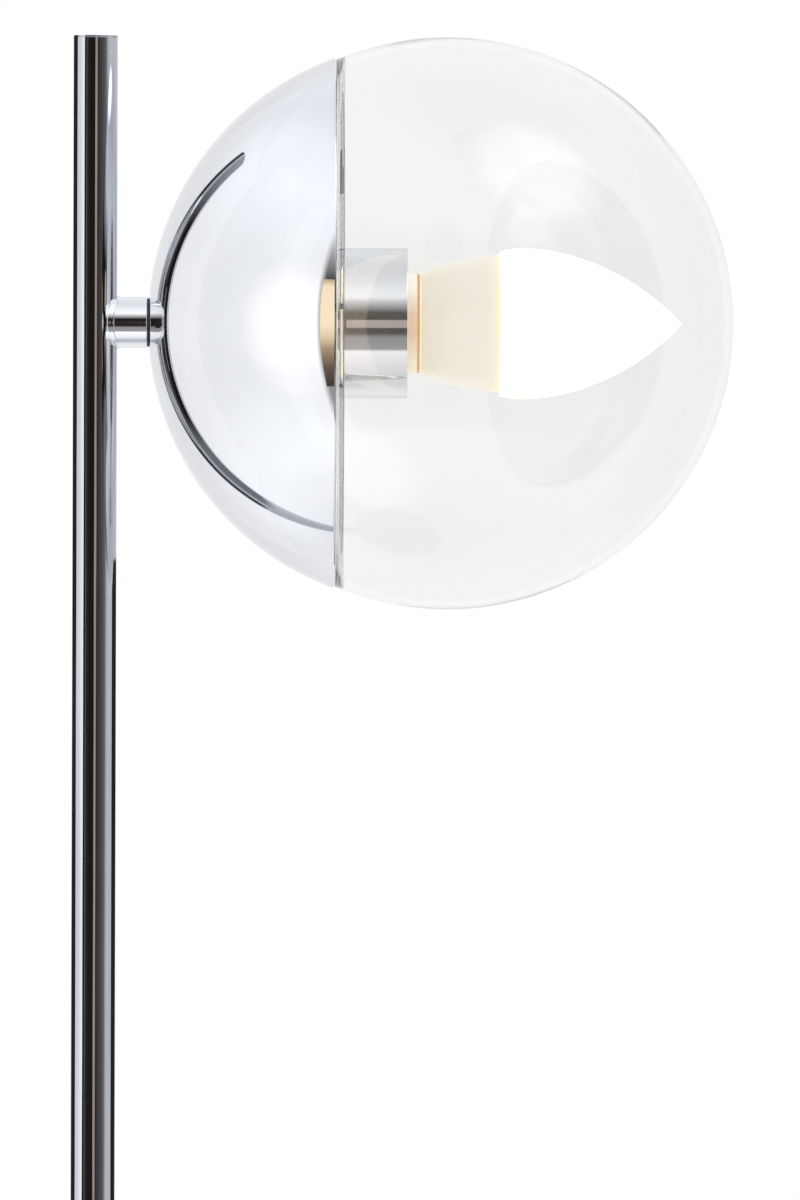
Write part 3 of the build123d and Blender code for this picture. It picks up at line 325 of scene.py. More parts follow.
# Finishes of the pieces inside: name, slot, base, speckle, metallic, roughness, pattern size in mm, relief in mm
innerFinishes = {
    "cast_iron": ("sand-cast grey iron", "5A5B5C", "3F4042", 0.8, 0.62, 1.2, 0.12),  # grains of sand leave it rough
    "zinc_steel": ("zinc-plated pressed steel", "B9BCC0", "9DA3A8", 1.0, 0.34, 3.0, 0.01),  # spangled, dull mirror
    "spring_steel": ("rolled spring steel", "A9ACB0", "8D9094", 1.0, 0.28, 0.8, 0.01),  # rolling grain
    "foam": ("closed-cell foam rubber", "2B2B2C", "1E1E1F", 0.0, 0.95, 0.7, 0.15),  # open pores, no shine
    "black_rubber": ("moulded synthetic rubber", "1C1C1D", "29292A", 0.0, 0.68, 0.9, 0.03),  # soft low sheen
    "brass": ("drawn brass", "C6A254", "A98740", 1.0, 0.3, 0.9, 0.01),  # yellow with drawing lines
    "nickel_brass": ("nickel-plated brass", "C3BFB6", "ABA79E", 1.0, 0.24, 1.4, 0.008),  # warm grey mirror
    "white_nylon": ("moulded natural nylon", "E9E6DC", "DDD9CC", 0.0, 0.45, 0.8, 0.02),  # waxy off-white
    "cream_plastic": ("moulded cream urea resin", "EBDDBF", "DFCFAE", 0.0, 0.36, 1.1, 0.02),
    "white_plastic": ("moulded white polycarbonate", "F1EEE6", "E7E3D9", 0.0, 0.32, 0.9, 0.015),
    "black_glass": ("pressed black glass", "121214", "1C1C1F", 0.0, 0.12, 1.6, 0.02),  # poured and fire-glossy
    "board": ("green solder-masked fibre board", "1F5B3A", "17492E", 0.0, 0.4, 1.5, 0.03),  # weave under lacquer
    "white_board": ("white solder-masked aluminium board", "EDEDEA", "DFDFDB", 0.0, 0.38, 1.5, 0.01),
    "led_phosphor": ("phosphor in clear silicone", "E9C84A", "D8B236", 0.0, 0.25, 0.4, 0.02),
    "capacitor_sleeve": ("heat-shrunk polyester sleeve", "23262B", "2E3238", 0.0, 0.3, 1.0, 0.02),
    "brown_lead": ("extruded brown silicone insulation", "5A3420", "4B2A19", 0.0, 0.5, 0.5, 0.02),
    "blue_lead": ("extruded blue silicone insulation", "2A5FA3", "224F8A", 0.0, 0.5, 0.5, 0.02),
    "earth_lead": ("extruded green and yellow insulation", "5E9A35", "D8C83A", 0.0, 0.5, 2.2, 0.02),
}
materialOfSlot = {"chrome": chromeTurned, "clear_glass": clearGlass, "frosted_plastic": frostedDiffuser}
for slot, (name, base, speck, metal, rough, grainSize, depth) in innerFinishes.items():
    material, tree, shader = newMaterial(name, Metallic=metal, Roughness=rough)
    place = addNode(tree, "ShaderNodeTexCoord")
    grain = addNode(tree, "ShaderNodeTexNoise", inputs={"Scale": 1000 / grainSize, "Detail": 3.0},
                    links={"Vector": place.outputs["Object"]})
    addNode(tree, "ShaderNodeValToRGB", links={"Fac": grain.outputs["Fac"]}, stops={0.35: speck, 0.65: base},
            feeds={"Color": shader.inputs["Base Color"]})
    addNode(tree, "ShaderNodeBump", inputs={"Strength": 0.4, "Distance": depth * mm},
            links={"Height": grain.outputs["Fac"]}, feeds={"Normal": shader.inputs["Normal"]})
    materialOfSlot[slot] = material

for node in nodes.values():
    for slot in node.material_slots:
        slot.material = materialOfSlot[slot.material.name]
print("materials done:", len(bpy.data.materials))

base = {
    "radius": 85.0, "bottom": 1.5, "top": 18.0, "wall": 1.2, "edge": 5.0, "holeR": 4.15,
}
inside = base["radius"] - base["wall"]
cover = turned("baseCover", roundCorners([
    (base["bottom"], inside, 0.3), (base["bottom"], base["radius"], 0.35), (base["top"], base["radius"], base["edge"]),
    (base["top"], base["holeR"]), (base["top"] - base["wall"], base["holeR"]),
    (base["top"] - base["wall"], inside, base["edge"] - base["wall"]),
], 10), stemAxis, "stand", ["base_cover"], steps=192, sharp=50)
dress(cover, chromeSpun)

stem = {
    "radius": 5.8, "wall": 1.2, "capThick": 0.45, "seam": 0.12, "chamfer": 0.15,
}
bore = stem["radius"] - stem["wall"]
capZ = lamp["totalHeight"] - stem["capThick"]
tube = turned("stemTube", roundCorners([
    (base["top"], bore), (base["top"], stem["radius"], 0.1), (capZ, stem["radius"], stem["seam"]), (capZ, bore),
], 3), stemAxis, "stand", ["stem_tube"], steps=96)
dress(tube, chromeTube)
cap = turned("stemCap", roundCorners([
    (capZ - 10, 0), (capZ - 10, bore - 0.05), (capZ, bore - 0.05), (capZ, stem["radius"], stem["seam"] * 0.6),
    (lamp["totalHeight"], stem["radius"], stem["chamfer"]), (lamp["totalHeight"], 0),
], 3), stemAxis, "stand", ["stem_cap"], steps=96, closed=False)
dress(cap, chromeTube)
print("base and stem done")

arm = {
    "radius": lamp["armR"], "grooveR": 5.9, "grooveW": 0.5, "edge": 0.25, "boreR": 3.6, "tapR": 5.05, "tapL": 7.05,
    "wallLeft": 2.9,  # the coped end stops this far from the stem's axis
}
endX = lamp["flatX"] - arm["grooveW"]


# Along the arm, where its skin meets the stem
def copeX(angle, radius, stemR=stem["radius"]):
    y = radius * math.sin(angle)
    return math.sqrt(max(stemR ** 2 - y * y, arm["wallLeft"] ** 2))


armMesh = bmesh.new()
tapEnd = lamp["flatX"] - arm["tapL"]
profile = [(None, arm["boreR"]), (None, arm["radius"])] + roundCorners([
    (0, arm["radius"]), (endX, arm["radius"], arm["edge"]), (endX, arm["grooveR"]), (lamp["flatX"], arm["grooveR"]),
    (lamp["flatX"], arm["tapR"]), (tapEnd, arm["tapR"]), (tapEnd, arm["boreR"]),
], 4)[1:]
armSteps = 128
rings = []
for a, r in profile:
    ring = []
    for i in range(armSteps):
        angle = 2 * math.pi * i / armSteps
        x = copeX(angle, r) if a is None else a
        ring.append(armMesh.verts.new(Vector((x, r * math.sin(angle), lamp["headHeight"] + r * math.cos(angle))) * mm))
    rings.append(ring)
for one, two in zip(rings, rings[1:] + rings[:1]):
    for i in range(armSteps):
        armMesh.faces.new((one[i], one[(i + 1) % armSteps], two[(i + 1) % armSteps], two[i]))
armPiece = makePiece("armTurned", armMesh, "stand", ["arm"])
dress(armPiece, chromeTurned)

# Brazed bead that runs round the coped end, with a groove filed along its middle
brazing = {
    "wide": 1.9, "high": 0.32, "near": 4.15, "far": 5.55, "narrowing": 0.25, "filedDeep": 0.14, "filedWide": 0.22,
    "sunk": 0.02,
}
bead = bmesh.new()
beadSteps, across = 160, 12
rings = []
for i in range(beadSteps):
    angle = 2 * math.pi * i / beadSteps
    upright = math.cos(angle) ** 2
    centreX = brazing["near"] + (brazing["far"] - brazing["near"]) * upright
    ring = []
    for k in range(across):
        turn = math.pi * k / (across - 1)
        x = centreX - math.cos(turn) * brazing["wide"] / 2 * (1 - brazing["narrowing"] * upright)
        filed = brazing["filedDeep"] * math.exp(-((turn - math.pi / 2) / brazing["filedWide"]) ** 2)
        r = arm["radius"] - brazing["sunk"] + math.sin(turn) ** 0.5 * brazing["high"] - filed
        ring.append(bead.verts.new(Vector((x, r * math.sin(angle), lamp["headHeight"] + r * math.cos(angle))) * mm))
    rings.append(ring)
for one, two in zip(rings, rings[1:] + rings[:1]):
    for k in range(across - 1):
        bead.faces.new((one[k], one[k + 1], two[k + 1], two[k]))
    bead.faces.new((one[across - 1], one[0], two[0], two[across - 1]))
beadPiece = makePiece("brazedBead", bead, "stand", sharp=50)
dress(beadPiece, chromeTurned)

# Black ring in the gap between the arm and the dome: painted shade, a dark piece put where the groove is in shade
shadeRing = {
    "play": 0.02, "clearance": 0.05, "wide": 0.4,
}
shadeRingNear, shadeRingFar = endX + shadeRing["play"], lamp["flatX"] - shadeRing["play"]
shadeRingInner = arm["grooveR"] + shadeRing["clearance"]
shadeRingOuter = shadeRingInner + shadeRing["wide"]
shadeRingPiece = turned("paintedShadeRing", [
    (shadeRingNear, shadeRingInner), (shadeRingNear, shadeRingOuter), (shadeRingFar, shadeRingOuter), (shadeRingFar, shadeRingInner),
], headAxis, "stand", steps=96)
dress(shadeRingPiece, materialOfSlot["black_rubber"])
print("arm done")

dome = {
    "wall": 1.0, "holeR": 5.3, "seatLand": 1.5, "rimPlay": 0.02,
    "rimDrop": 0.2025, "rimRise": 0.135,  # how far the rim's face stays inside the outer and the inner skin
    "rimTurn": 0.28,  # degrees of the outer arc that the rounding of the rim takes
    "rimRings": (0.34, 0.31),  # and where the rings just before it stand
}
innerR = lamp["domeR"] - dome["wall"]
rimX = lamp["rimX"]
outerRim = math.degrees(math.acos(-lamp["rimBack"] / lamp["domeR"]))
innerRim = math.degrees(math.acos(-lamp["rimBack"] / innerR))
flatAngle = 180 - math.degrees(math.asin(lamp["armR"] / lamp["domeR"]))
innerFlat = 180 - math.degrees(math.asin((lamp["armR"] + dome["seatLand"]) / innerR))
profile = [Vector((lamp["flatX"], dome["holeR"]))]
profile += arcOf(lamp["domeX"], lamp["domeR"], flatAngle, outerRim + dome["rimRings"][0], 96)
profile += arcOf(lamp["domeX"], lamp["domeR"], outerRim + dome["rimRings"][1], outerRim + dome["rimTurn"], 1)
rimFace = rimX - dome["rimPlay"]
profile += [Vector((rimFace, math.sin(math.radians(outerRim)) * lamp["domeR"] - dome["rimDrop"])),
            Vector((rimFace, math.sin(math.radians(innerRim)) * innerR + dome["rimRise"]))]
profile += arcOf(lamp["domeX"], innerR, innerRim + dome["rimTurn"], innerFlat, 72)
profile += [Vector((lamp["flatX"] + dome["wall"], dome["holeR"]))]
domePiece = turned("spunDome", profile, headAxis, "stand", ["dome"], steps=256, sharp=35)
dress(domePiece, chromeSpun)
print("dome done")

cup = {
    "radius": 19.7, "wall": 0.9, "corner": 3.0, "mouthBack": 5.9, "holeR": 5.3,
}
cupFront = lamp["domeX"] - cup["mouthBack"]
holder = {
    "radius": 13.0, "wall": 1.8, "standOut": 3.2, "mouthR": 10.3, "collar": 3.4, "notches": 36, "notchWide": 0.9,
    "notchDeep": 0.3, "notchEdge": 0.12, "joint": 44.5, "cupSpace": 14.0,
}
holderFront = cupFront + holder["standOut"]
cupBack = holder["joint"] - holder["cupSpace"] - cup["wall"]
notchFrom = holderFront - holder["collar"] / 2
cupInner = cup["radius"] - cup["wall"]
cupPiece = turned("holderCup", roundCorners([
    (cupBack, cup["holeR"]), (cupBack, cup["radius"], cup["corner"]), (cupFront, cup["radius"], 0.2),
    (cupFront, cupInner, 0.25), (cupBack + cup["wall"], cupInner, cup["corner"] - cup["wall"]),
    (cupBack + cup["wall"], cup["holeR"]),
], 8), headAxis, "stand", ["holder_cup"], steps=160, sharp=50)
dress(cupPiece, chromeTurned)


# The collar's outer skin is cut by fine notches near its front edge
def notched(a, r, angle):
    if r < holder["radius"] - 2 * holder["notchDeep"] or a < notchFrom:
        return r
    spacing = 2 * math.pi / holder["notches"]
    offset = abs((angle + spacing / 2) % spacing - spacing / 2) * holder["radius"]
    depth = max(0.0, min(1.0, (holder["notchWide"] / 2 + holder["notchEdge"] - offset) / (2 * holder["notchEdge"])))
    return min(r, holder["radius"] - holder["notchDeep"] * depth)


holderBore = holder["radius"] - holder["wall"]
collarX = holderFront - holder["collar"]
sleeve = turned("holderSleeve", roundCorners([
    (holder["joint"], holder["radius"]), (collarX, holder["radius"]), (notchFrom, holder["radius"]),
    (notchFrom + 0.02, holder["radius"]), (holderFront, holder["radius"], holder["notchDeep"]),
    (holderFront, holder["mouthR"], 0.4), (collarX, holder["mouthR"]),
    (collarX, holderBore), (holder["joint"], holderBore),
], 5), headAxis, "stand", ["holder_sleeve"], steps=holder["notches"] * 16, sharp=40, shape=notched)
dress(sleeve, creamResin)
print("cup and lampholder done")

bulb = {
    "gap": 0.3, "shoulderR": 12.9, "length": 20.8, "bodyR": 18.1, "wall": 1.3, "neckR": 9.4, "neckBack": 5.45,
    "neckInner": 7.57, "plugX": 64.6, "plugR": 5.7, "boreR": 4.7, "cavityR": 10.6, "ledgeR": 14.9, "ledgeDeep": 4.0,
    "flame": 47.7, "jointR": 18.9, "bellyR": 19.7, "skin": 1.2, "lip": 2.4, "tipSkin": 2.2, "play": 0.02,
    "bellyShare": 0.12,  # how far along the flame it is widest
}
bodyBack = holderFront + bulb["gap"]
jointX = bodyBack + bulb["length"]
tipX = jointX + bulb["flame"]
widening = bulb["bodyR"] - bulb["shoulderR"]
side = bezierOf([
    (bodyBack, bulb["shoulderR"]), (bodyBack + bulb["length"] * 0.14, bulb["shoulderR"] + widening * 0.5),
    (bodyBack + bulb["length"] * 0.52, bulb["bodyR"] - widening * 0.24), (jointX, bulb["bodyR"]),
], 40)
bodyEnd, bodyInner = jointX - bulb["play"], bulb["bodyR"] - bulb["wall"]
ledgeX, cavityX, neckX = jointX - bulb["ledgeDeep"], bodyBack + bulb["wall"], holderFront - bulb["neckBack"]
bodyPiece = turned("bulbBody", side[:-1] + roundCorners([
    tuple(side[-2]), (bodyEnd, bulb["bodyR"], 0.15), (bodyEnd, bodyInner, 0.2), (ledgeX, bodyInner),
    (ledgeX, bulb["ledgeR"]), (cavityX, bulb["cavityR"]), (cavityX, bulb["boreR"]), (bulb["plugX"], bulb["boreR"]),
    (bulb["plugX"], bulb["plugR"]), (neckX, bulb["plugR"]), (neckX, bulb["neckInner"]),
    (bodyBack, bulb["neckR"], 0.4), (bodyBack, bulb["shoulderR"], 0.3),
], 4)[1:], headAxis, "bulb", ["bulb_body"], steps=160, sharp=45)
dress(bodyPiece, bulbPlastic)


def flameSide(startR, bellyR, endX, steps):
    reach = endX - jointX
    bellyX = jointX + reach * bulb["bellyShare"]
    rise = bezierOf([(jointX, startR), (jointX + reach * 0.05, bellyR), (bellyX, bellyR)], steps // 4)
    fall = bezierOf([
        (bellyX, bellyR), (jointX + reach * 0.47, bellyR), (jointX + reach * 0.82, bellyR * 0.5), (endX, 0)], steps)
    return rise + fall[1:]


lipR = bodyInner - 0.05
lipX, seatX = jointX - bulb["lip"], jointX + 0.03
outerFlame = flameSide(bulb["jointR"], bulb["bellyR"], tipX, 64)
innerFlame = flameSide(lipR - bulb["skin"], bulb["bellyR"] - bulb["skin"], tipX - bulb["tipSkin"], 48)
lip = [(lipX, lipR - bulb["skin"]), (lipX, lipR), (seatX, lipR), (seatX, bulb["jointR"] - 0.3)]
diffuser = turned("flameDiffuser", [Vector(p) for p in lip] + outerFlame[1:] + innerFlame[::-1][:-1], headAxis, "bulb",
                  ["bulb_diffuser"], steps=160, sharp=50)
dress(diffuser, frostedDiffuser)
print("bulb done")

globe = {
    "radius": 75.0, "forward": 4.6, "wall": 2.2, "gap": 0.2, "lipR": 62.99, "lipL": 7.0,
    "shoulder": 0.5,  # the flat shoulder in front of the dome's rim is thinner than the wall
    "edgeLand": 0.5,  # the shoulder's outer edge runs straight this far before the ball begins
    "edgeTurns": (1, 0.6),  # degrees past that edge where its rounding and the ball meet
}
globeInner, globeX = globe["radius"] - globe["wall"], lamp["domeX"] + globe["forward"]
backX = rimX + globe["gap"]
outerStart = math.degrees(math.acos((backX + globe["edgeLand"] - globeX) / globe["radius"]))
shoulderX, lipBack = backX + globe["shoulder"], backX - globe["lipL"]
lipInner = globe["lipR"] - globe["wall"]
innerStart = math.degrees(math.acos((shoulderX - globeX) / globeInner))
edgeAt = outerStart - globe["edgeTurns"][0]
shoulder = roundCorners([
    (shoulderX, lipInner, 0.8), (lipBack, lipInner, 0.9), (lipBack, globe["lipR"], 0.9),
    (backX, globe["lipR"], 0.4), (backX, math.sin(math.radians(outerStart)) * globe["radius"], 0.25),
    tuple(arcOf(globeX, globe["radius"], edgeAt, edgeAt, 1)[0]),
], 5)[:-1]
profile = arcOf(globeX, globeInner, 0, innerStart, 96) + shoulder
profile += arcOf(globeX, globe["radius"], outerStart - globe["edgeTurns"][1], 0, 110)
profile[0].y = 0
profile[-1].y = 0
glass = turned("glassGlobe", profile, headAxis, "globe", ["glass_globe"], steps=256, sharp=40, closed=False)
dress(glass, clearGlass)
print("glass done")

studio = {
    "cameraAt": (0.045, -3.0, 0.405), "lookAt": (0.08025, 0.0, 0.3322), "frameHeight": 0.315, "roll": 0.2,
    "floorR": 0.75, "floorAt": (0.03, 0, -0.0005), "background": 1.0, "plain": 1.0, "tent": 1.87,
    "floorSeen": 0.3,  # how much the floor is lifted towards white for the camera
    "floorThrough": 0.1,  # and seen through glass
    "windowTurn": -58,  # degrees from the camera's side, towards the right
    "glowWay": (0.48, -0.26, 0.84), "glowSpread": 27, "glowLift": 4.2,
    "paleTurn": (5.0, 5.4), "paleRise": (-1, 6),  # middle and half width, in degrees
    "aheadTurn": (1, 9),
    "headAt": (0.05, -0.02, 0.405),
    "boardBase": "2C2C2D", "wallStrength": 1.3,
}
camera = bpy.data.cameras.new("camera")
cameraObject = bpy.data.objects.new("camera", camera)
scene.collection.objects.link(cameraObject)
cameraObject.location = studio["cameraAt"]
aim = Vector(studio["lookAt"]) - cameraObject.location
look = aim.to_track_quat("-Z", "Y").to_euler()
look.rotate_axis("Z", math.radians(studio["roll"]))
cameraObject.rotation_euler = look
camera.sensor_fit = "VERTICAL"
camera.sensor_height = 36.0
camera.lens = camera.sensor_height * aim.length / studio["frameHeight"]
camera.clip_end = 50
scene.camera = cameraObject

floorMesh = bmesh.new()
bmesh.ops.create_circle(floorMesh, cap_ends=True, radius=studio["floorR"], segments=128)
floorData = bpy.data.meshes.new("floor")
floorMesh.to_mesh(floorData)
floorMesh.free()
floor = bpy.data.objects.new("floor", floorData)
floor.location = studio["floorAt"]
scene.collection.objects.link(floor)
floorPaint, tree, shader = newMaterial("matt white studio board", Base_Color=colour("E4E4E2"), Roughness=0.9)
rays = addNode(tree, "ShaderNodeLightPath")
seen = addNode(tree, "ShaderNodeMath", {"operation": "MULTIPLY"}, {1: studio["floorSeen"]},
               {0: rays.outputs["Is Camera Ray"]})
addNode(tree, "ShaderNodeMath", {"operation": "MULTIPLY_ADD"}, {1: studio["floorThrough"]},
        {0: rays.outputs["Is Transmission Ray"], 2: seen.outputs[0]}, {0: shader.inputs["Emission Strength"]})
shader.inputs["Emission Color"].default_value = (1, 1, 1, 1)
# A mirror behind the globe's glass doesn't see the floor either
behind = addNode(tree, "ShaderNodeMath", {"operation": "GREATER_THAN"}, {1: 0.5}, {0: rays.outputs["Glossy Depth"]})
addNode(tree, "ShaderNodeMath", {"operation": "SUBTRACT"}, {0: 1.0}, {1: behind.outputs[0]},
        {0: shader.inputs["Alpha"]})
floorData.materials.append(floorPaint)
floor.visible_glossy = False  # mirrors see the tent below instead, without the floor's edge

# The world: plain white for the background, a plain level on matt surfaces, and for mirrors a white tent
# with the dim opening of the room behind the camera
world = bpy.data.worlds.new("studio")
scene.world = world
world.use_nodes = True
tree = world.node_tree
tree.nodes.clear()


def turnAt(degrees):
    return (degrees + 180) / 360


def riseAt(degrees):
    return (degrees + 90) / 180


# The tent's colour and level in a direction: brightest in front of the large window on the left, dimmest on the
# far side of it, and a little brighter half way up and half way down
windowTurn = math.radians(studio["windowTurn"])
window = Vector((math.sin(windowTurn), -math.cos(windowTurn), -0.03)).normalized()


def tentIn(tree, way):
    near = addNode(tree, "ShaderNodeVectorMath", {"operation": "DOT_PRODUCT"}, {1: window}, {0: way})
    nearShare = addNode(tree, "ShaderNodeMapRange", inputs={"From Min": -1.0, "From Max": 1.0},
                        links={"Value": near.outputs["Value"]})
    glow = addNode(tree, "ShaderNodeValToRGB", links={"Fac": nearShare.outputs["Result"]}, stops={
        0.0: "C0C1C3", 0.18: "C4C5C7", 0.33: "C9CACC", 0.5: "CACBCD", 0.654: "D7D8DA", 0.8: "DDDEE0",
        0.883: "DDDEE0", 0.949: "E1E2E3", 0.985: "F3F3F4", 0.996: "FFFFFF"})
    split = addNode(tree, "ShaderNodeSeparateXYZ", links={"Vector": way})
    rise = addNode(tree, "ShaderNodeMath", {"operation": "ARCSINE"}, links={0: split.outputs["Z"]})
    riseShare = addNode(tree, "ShaderNodeMapRange", inputs={"From Min": -math.pi / 2, "From Max": math.pi / 2},
                        links={"Value": rise.outputs[0]})
    lift = addNode(tree, "ShaderNodeValToRGB", links={"Fac": riseShare.outputs["Result"]}, stops={
        riseAt(-90): "E9EAEA", riseAt(-70): "F1F1F1", riseAt(-45): "FFFFFF", riseAt(-20): "ECECEC",
        riseAt(20): "ECECEC", riseAt(45): "FDFEFF", riseAt(70): "F1F2F4", riseAt(90): "EDEEF0"})
    both = addNode(tree, "ShaderNodeMix", {"data_type": "RGBA", "blend_type": "MULTIPLY"}, {0: 1.0},
                   {6: glow.outputs["Color"], 7: lift.outputs["Color"]})
    return both.outputs[2], split, riseShare.outputs["Result"]


place = addNode(tree, "ShaderNodeTexCoord")
tentColour, way, riseShare = tentIn(tree, place.outputs["Generated"])
towards = addNode(tree, "ShaderNodeMath", {"operation": "MULTIPLY"}, {1: -1.0}, {0: way.outputs["Y"]})
turn = addNode(tree, "ShaderNodeMath", {"operation": "ARCTAN2"}, links={0: way.outputs["X"], 1: towards.outputs[0]})
turnShare = addNode(tree, "ShaderNodeMapRange", inputs={"From Min": -math.pi, "From Max": math.pi},
                    links={"Value": turn.outputs[0]}).outputs["Result"]
# The room in the opening, by its angle from the camera
room = addNode(tree, "ShaderNodeValToRGB", links={"Fac": turnShare}, stops={
    turnAt(-60): "5A5650", turnAt(-42): "484340", turnAt(-30): "2A2421", turnAt(8): "2A2321", turnAt(18): "4C4440",
    turnAt(30): "5A5452", turnAt(44): "6A6668", turnAt(54): "7C7A7E", turnAt(66): "9A9BA2"})
# Something pale stands beside the camera, level with the lamp
paleTurn = addNode(tree, "ShaderNodeMath", {"operation": "COMPARE"},
                   {1: turnAt(studio["paleTurn"][0]), 2: studio["paleTurn"][1] / 360}, {0: turnShare})
paleRise = addNode(tree, "ShaderNodeMath", {"operation": "COMPARE"},
                   {1: riseAt(studio["paleRise"][0]), 2: studio["paleRise"][1] / 180}, {0: riseShare})
pale = addNode(tree, "ShaderNodeMath", {"operation": "MULTIPLY"},
               links={0: paleTurn.outputs[0], 1: paleRise.outputs[0]})
roomColour = addNode(tree, "ShaderNodeMix", {"data_type": "RGBA"}, {7: colour("C4B6AE")},
                     {0: pale.outputs[0], 6: room.outputs["Color"]})
# The opening is one where it is seen and nought where the tent is
openTurn = addNode(tree, "ShaderNodeValToRGB", links={"Fac": turnShare}, stops={
    turnAt(-47.5): "000000", turnAt(-45.5): "FFFFFF", turnAt(58): "FFFFFF", turnAt(66): "BBBBBB",
    turnAt(74): "000000"})
openRise = addNode(tree, "ShaderNodeValToRGB", links={"Fac": riseShare}, stops={
    riseAt(-44): "000000", riseAt(-40): "D8D8D8", riseAt(-22): "DCDCDC", riseAt(-15): "FFFFFF",
    riseAt(16): "FFFFFF", riseAt(25): "D2D2D2", riseAt(33): "A0A0A0", riseAt(40): "000000"})
opening = addNode(tree, "ShaderNodeMath", {"operation": "MULTIPLY"},
                  links={0: openTurn.outputs["Color"], 1: openRise.outputs["Color"]})
# Behind the four skins of the globe only the part straight ahead, which the lampholder's cup mirrors
rays = addNode(tree, "ShaderNodeLightPath")
mirrorBehind = addNode(tree, "ShaderNodeMath", {"operation": "GREATER_THAN"}, {1: 0.5},
                       {0: rays.outputs["Glossy Depth"]})
fourSkins = addNode(tree, "ShaderNodeMath", {"operation": "COMPARE"}, {1: 4.0, 2: 0.5},
                    {0: rays.outputs["Transmission Depth"]})
behindGlass = addNode(tree, "ShaderNodeMath", {"operation": "MULTIPLY"},
                      links={0: fourSkins.outputs[0], 1: mirrorBehind.outputs[0]})
ahead = addNode(tree, "ShaderNodeMath", {"operation": "COMPARE"},
                {1: turnAt(studio["aheadTurn"][0]), 2: studio["aheadTurn"][1] / 360}, {0: turnShare})
notAhead = addNode(tree, "ShaderNodeMath", {"operation": "SUBTRACT"}, {0: 1.0}, {1: ahead.outputs[0]})
covered = addNode(tree, "ShaderNodeMath", {"operation": "MULTIPLY"},
                  links={0: behindGlass.outputs[0], 1: notAhead.outputs[0]})
shown = addNode(tree, "ShaderNodeMath", {"operation": "SUBTRACT", "use_clamp": True},
                links={0: opening.outputs[0], 1: covered.outputs[0]})
# A smaller soft lamp high up on the right gives the globe its two round glows
glowWay = Vector(studio["glowWay"]).normalized()
lampNear = addNode(tree, "ShaderNodeVectorMath", {"operation": "DOT_PRODUCT"}, {1: glowWay},
                   {0: place.outputs["Generated"]})
lampGlow = addNode(tree, "ShaderNodeMapRange", {"interpolation_type": "SMOOTHERSTEP"}, {
    "From Min": math.cos(math.radians(studio["glowSpread"])), "From Max": 1.0,
    "To Min": studio["tent"], "To Max": studio["tent"] + studio["glowLift"]}, {"Value": lampNear.outputs["Value"]})
tentLight = addNode(tree, "ShaderNodeBackground", links={"Color": tentColour, "Strength": lampGlow.outputs["Result"]})
roomLight = addNode(tree, "ShaderNodeBackground", inputs={"Strength": 1.0}, links={"Color": roomColour.outputs[2]})
around = addNode(tree, "ShaderNodeMixShader",
                 links={0: shown.outputs[0], 1: tentLight.outputs[0], 2: roomLight.outputs[0]})
plain = addNode(tree, "ShaderNodeBackground", inputs={"Color": colour("FFFFFF"), "Strength": studio["plain"]})
white = addNode(tree, "ShaderNodeBackground", inputs={"Color": colour("FFFFFF"), "Strength": studio["background"]})
# Glass shows the white background, but a mirror behind the globe shows what is around
through = addNode(tree, "ShaderNodeMath", {"operation": "SUBTRACT", "use_clamp": True},
                  links={0: rays.outputs["Is Transmission Ray"], 1: behindGlass.outputs[0]})
seen = addNode(tree, "ShaderNodeMath", {"operation": "MAXIMUM"},
               links={0: rays.outputs["Is Camera Ray"], 1: through.outputs[0]})
mirrored = addNode(tree, "ShaderNodeMath", {"operation": "MAXIMUM"},
                   links={0: rays.outputs["Is Glossy Ray"], 1: behindGlass.outputs[0]})
lit = addNode(tree, "ShaderNodeMixShader", links={0: mirrored.outputs[0], 1: plain.outputs[0], 2: around.outputs[0]})
surroundings = addNode(tree, "ShaderNodeMixShader", links={0: seen.outputs[0], 1: lit.outputs[0], 2: white.outputs[0]})
addNode(tree, "ShaderNodeOutputWorld", links={"Surface": surroundings.outputs[0]})


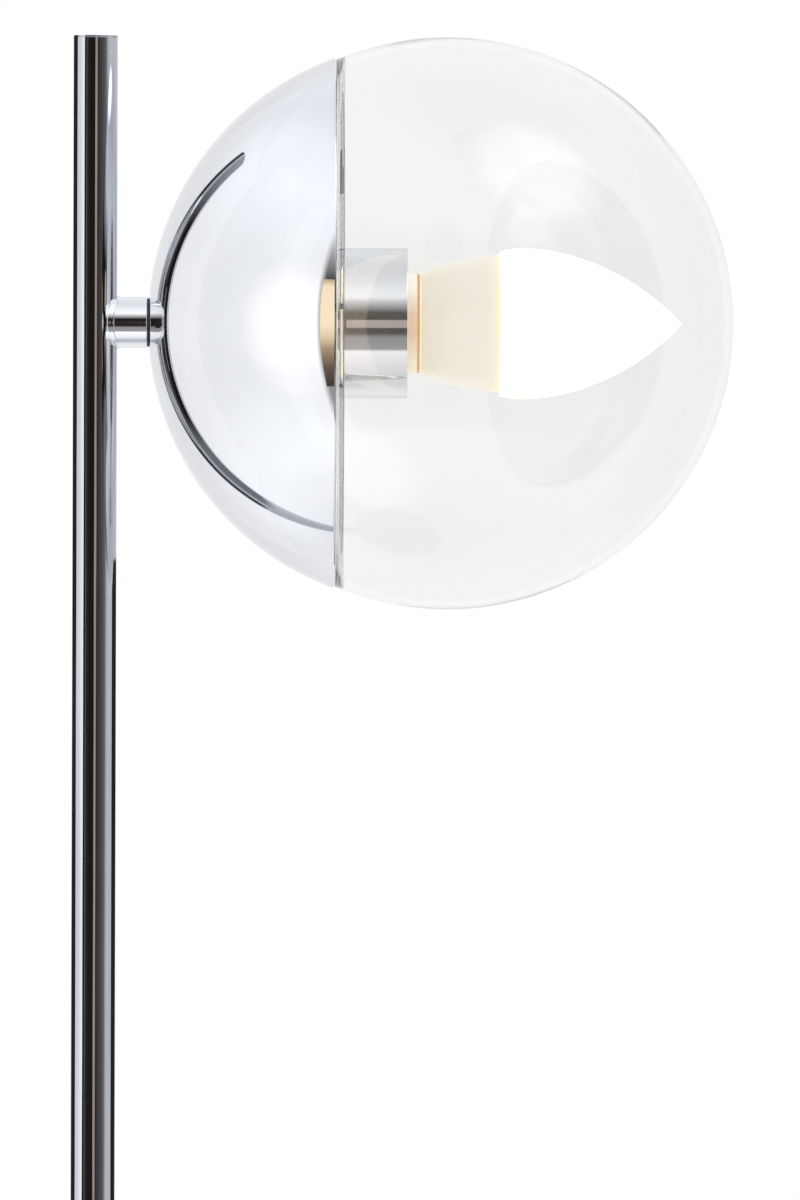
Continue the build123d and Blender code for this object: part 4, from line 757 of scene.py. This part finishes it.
# An upright board that only mirrors see. The pieces in dark see it almost black, and the others see the tent's own
# level on it; with only, those pieces see it shine in its tint and the others see it black.
def addBoard(name, centre, turnDegrees, width, height, tint=None, dark=(), only=()):
    turnAngle = math.radians(turnDegrees)
    side = Vector((math.cos(turnAngle), math.sin(turnAngle), 0)) * width / 2
    up = Vector((0, 0, height / 2))
    middle = Vector(centre)
    mesh = bpy.data.meshes.new(name)
    corners = [middle - side - up, middle + side - up, middle + side + up, middle - side + up]
    mesh.from_pydata(corners, [], [(0, 1, 2, 3)])
    card, tree, shader = newMaterial("painted " + name, Base_Color=colour(studio["boardBase"]), Roughness=1.0,
                                     Specular_IOR_Level=0.0)
    place = addNode(tree, "ShaderNodeTexCoord")
    if tint:
        split = addNode(tree, "ShaderNodeSeparateXYZ", links={"Vector": place.outputs["Generated"]})
        addNode(tree, "ShaderNodeValToRGB", links={"Fac": split.outputs["Z"]}, stops={
            0.0: "2E2822", 0.19: "5E5040", 0.3: "8C7860", 0.38: "B09878", 0.46: "E0C8A4", 0.58: tint, 0.93: tint,
            1.0: "B8A488"}, feeds={"Color": shader.inputs["Emission Color"]})
        shader.inputs["Emission Strength"].default_value = studio["wallStrength"]
    else:
        fromHead = addNode(tree, "ShaderNodeVectorMath", {"operation": "SUBTRACT"}, {1: studio["headAt"]},
                           {0: place.outputs["Object"]})
        way = addNode(tree, "ShaderNodeVectorMath", {"operation": "NORMALIZE"}, links={0: fromHead.outputs["Vector"]})
        tree.links.new(tentIn(tree, way.outputs["Vector"])[0], shader.inputs["Emission Color"])
        shader.inputs["Emission Strength"].default_value = studio["tent"]
    mesh.materials.append(card)
    board = bpy.data.objects.new(name, mesh)
    scene.collection.objects.link(board)
    board.visible_camera = board.visible_diffuse = board.visible_transmission = board.visible_shadow = False
    receivers = bpy.data.collections.new(name + "Receivers")
    for piece in list(dark) + list(only):
        receivers.objects.link(piece)
    for entry in receivers.collection_objects:
        entry.light_linking.link_state = "EXCLUDE" if dark else "INCLUDE"
    board.light_linking.receiver_collection = receivers


# Black flags beside the stem draw its dark outlines
addBoard("leftFlag", (-0.43, 0.42, 0.4), -134, 0.62, 1.2, dark=[tube, cap])
addBoard("rightFlagLow", (0.43, 0.42, 0.065), 134, 0.62, 0.53, dark=[tube])
addBoard("rightFlagHigh", (0.43, 0.42, 0.78), 134, 0.62, 0.44, dark=[tube])
addBoard("edgeFlag", (-0.478, -0.373, 0.4), -52, 0.125, 1.2, dark=[tube, cap])
# A warm wall in the opening, which shows near the dome's rim
addBoard("warmWall", (-0.275, -0.443, 0.365), -42, 0.078, 0.4, tint="FFE9C6", only=[domePiece])


# Soft lamps: name, place, aim, size, watts
def addLamp(name, at, aimAt, size, watts, tint="FFFFFF"):
    light = bpy.data.lights.new(name, "AREA")
    light.shape = "RECTANGLE"
    light.size, light.size_y = size
    light.energy = watts
    light.color = colour(tint)[:3]
    lightObject = bpy.data.objects.new(name, light)
    lightObject.location = at
    lightObject.rotation_euler = (Vector(aimAt) - Vector(at)).to_track_quat("-Z", "Y").to_euler()
    lightObject.visible_glossy = lightObject.visible_transmission = False
    lightObject.visible_camera = False
    scene.collection.objects.link(lightObject)


addLamp("topSoftbox", (0.1, -0.2, 1.5), (0.05, 0, 0.2), (0.9, 0.9), 5.0)
addLamp("leftSoftbox", (-0.75, -0.45, 0.78), (0, 0, 0.4), (0.5, 0.8), 3.2)
# Light goes many times to and fro between the glass and the mirror of the dome
scene.cycles.max_bounces = 24
scene.cycles.glossy_bounces = 12
scene.cycles.transmission_bounces = 20
print("studio done")

scene.view_settings.view_transform = "Standard"
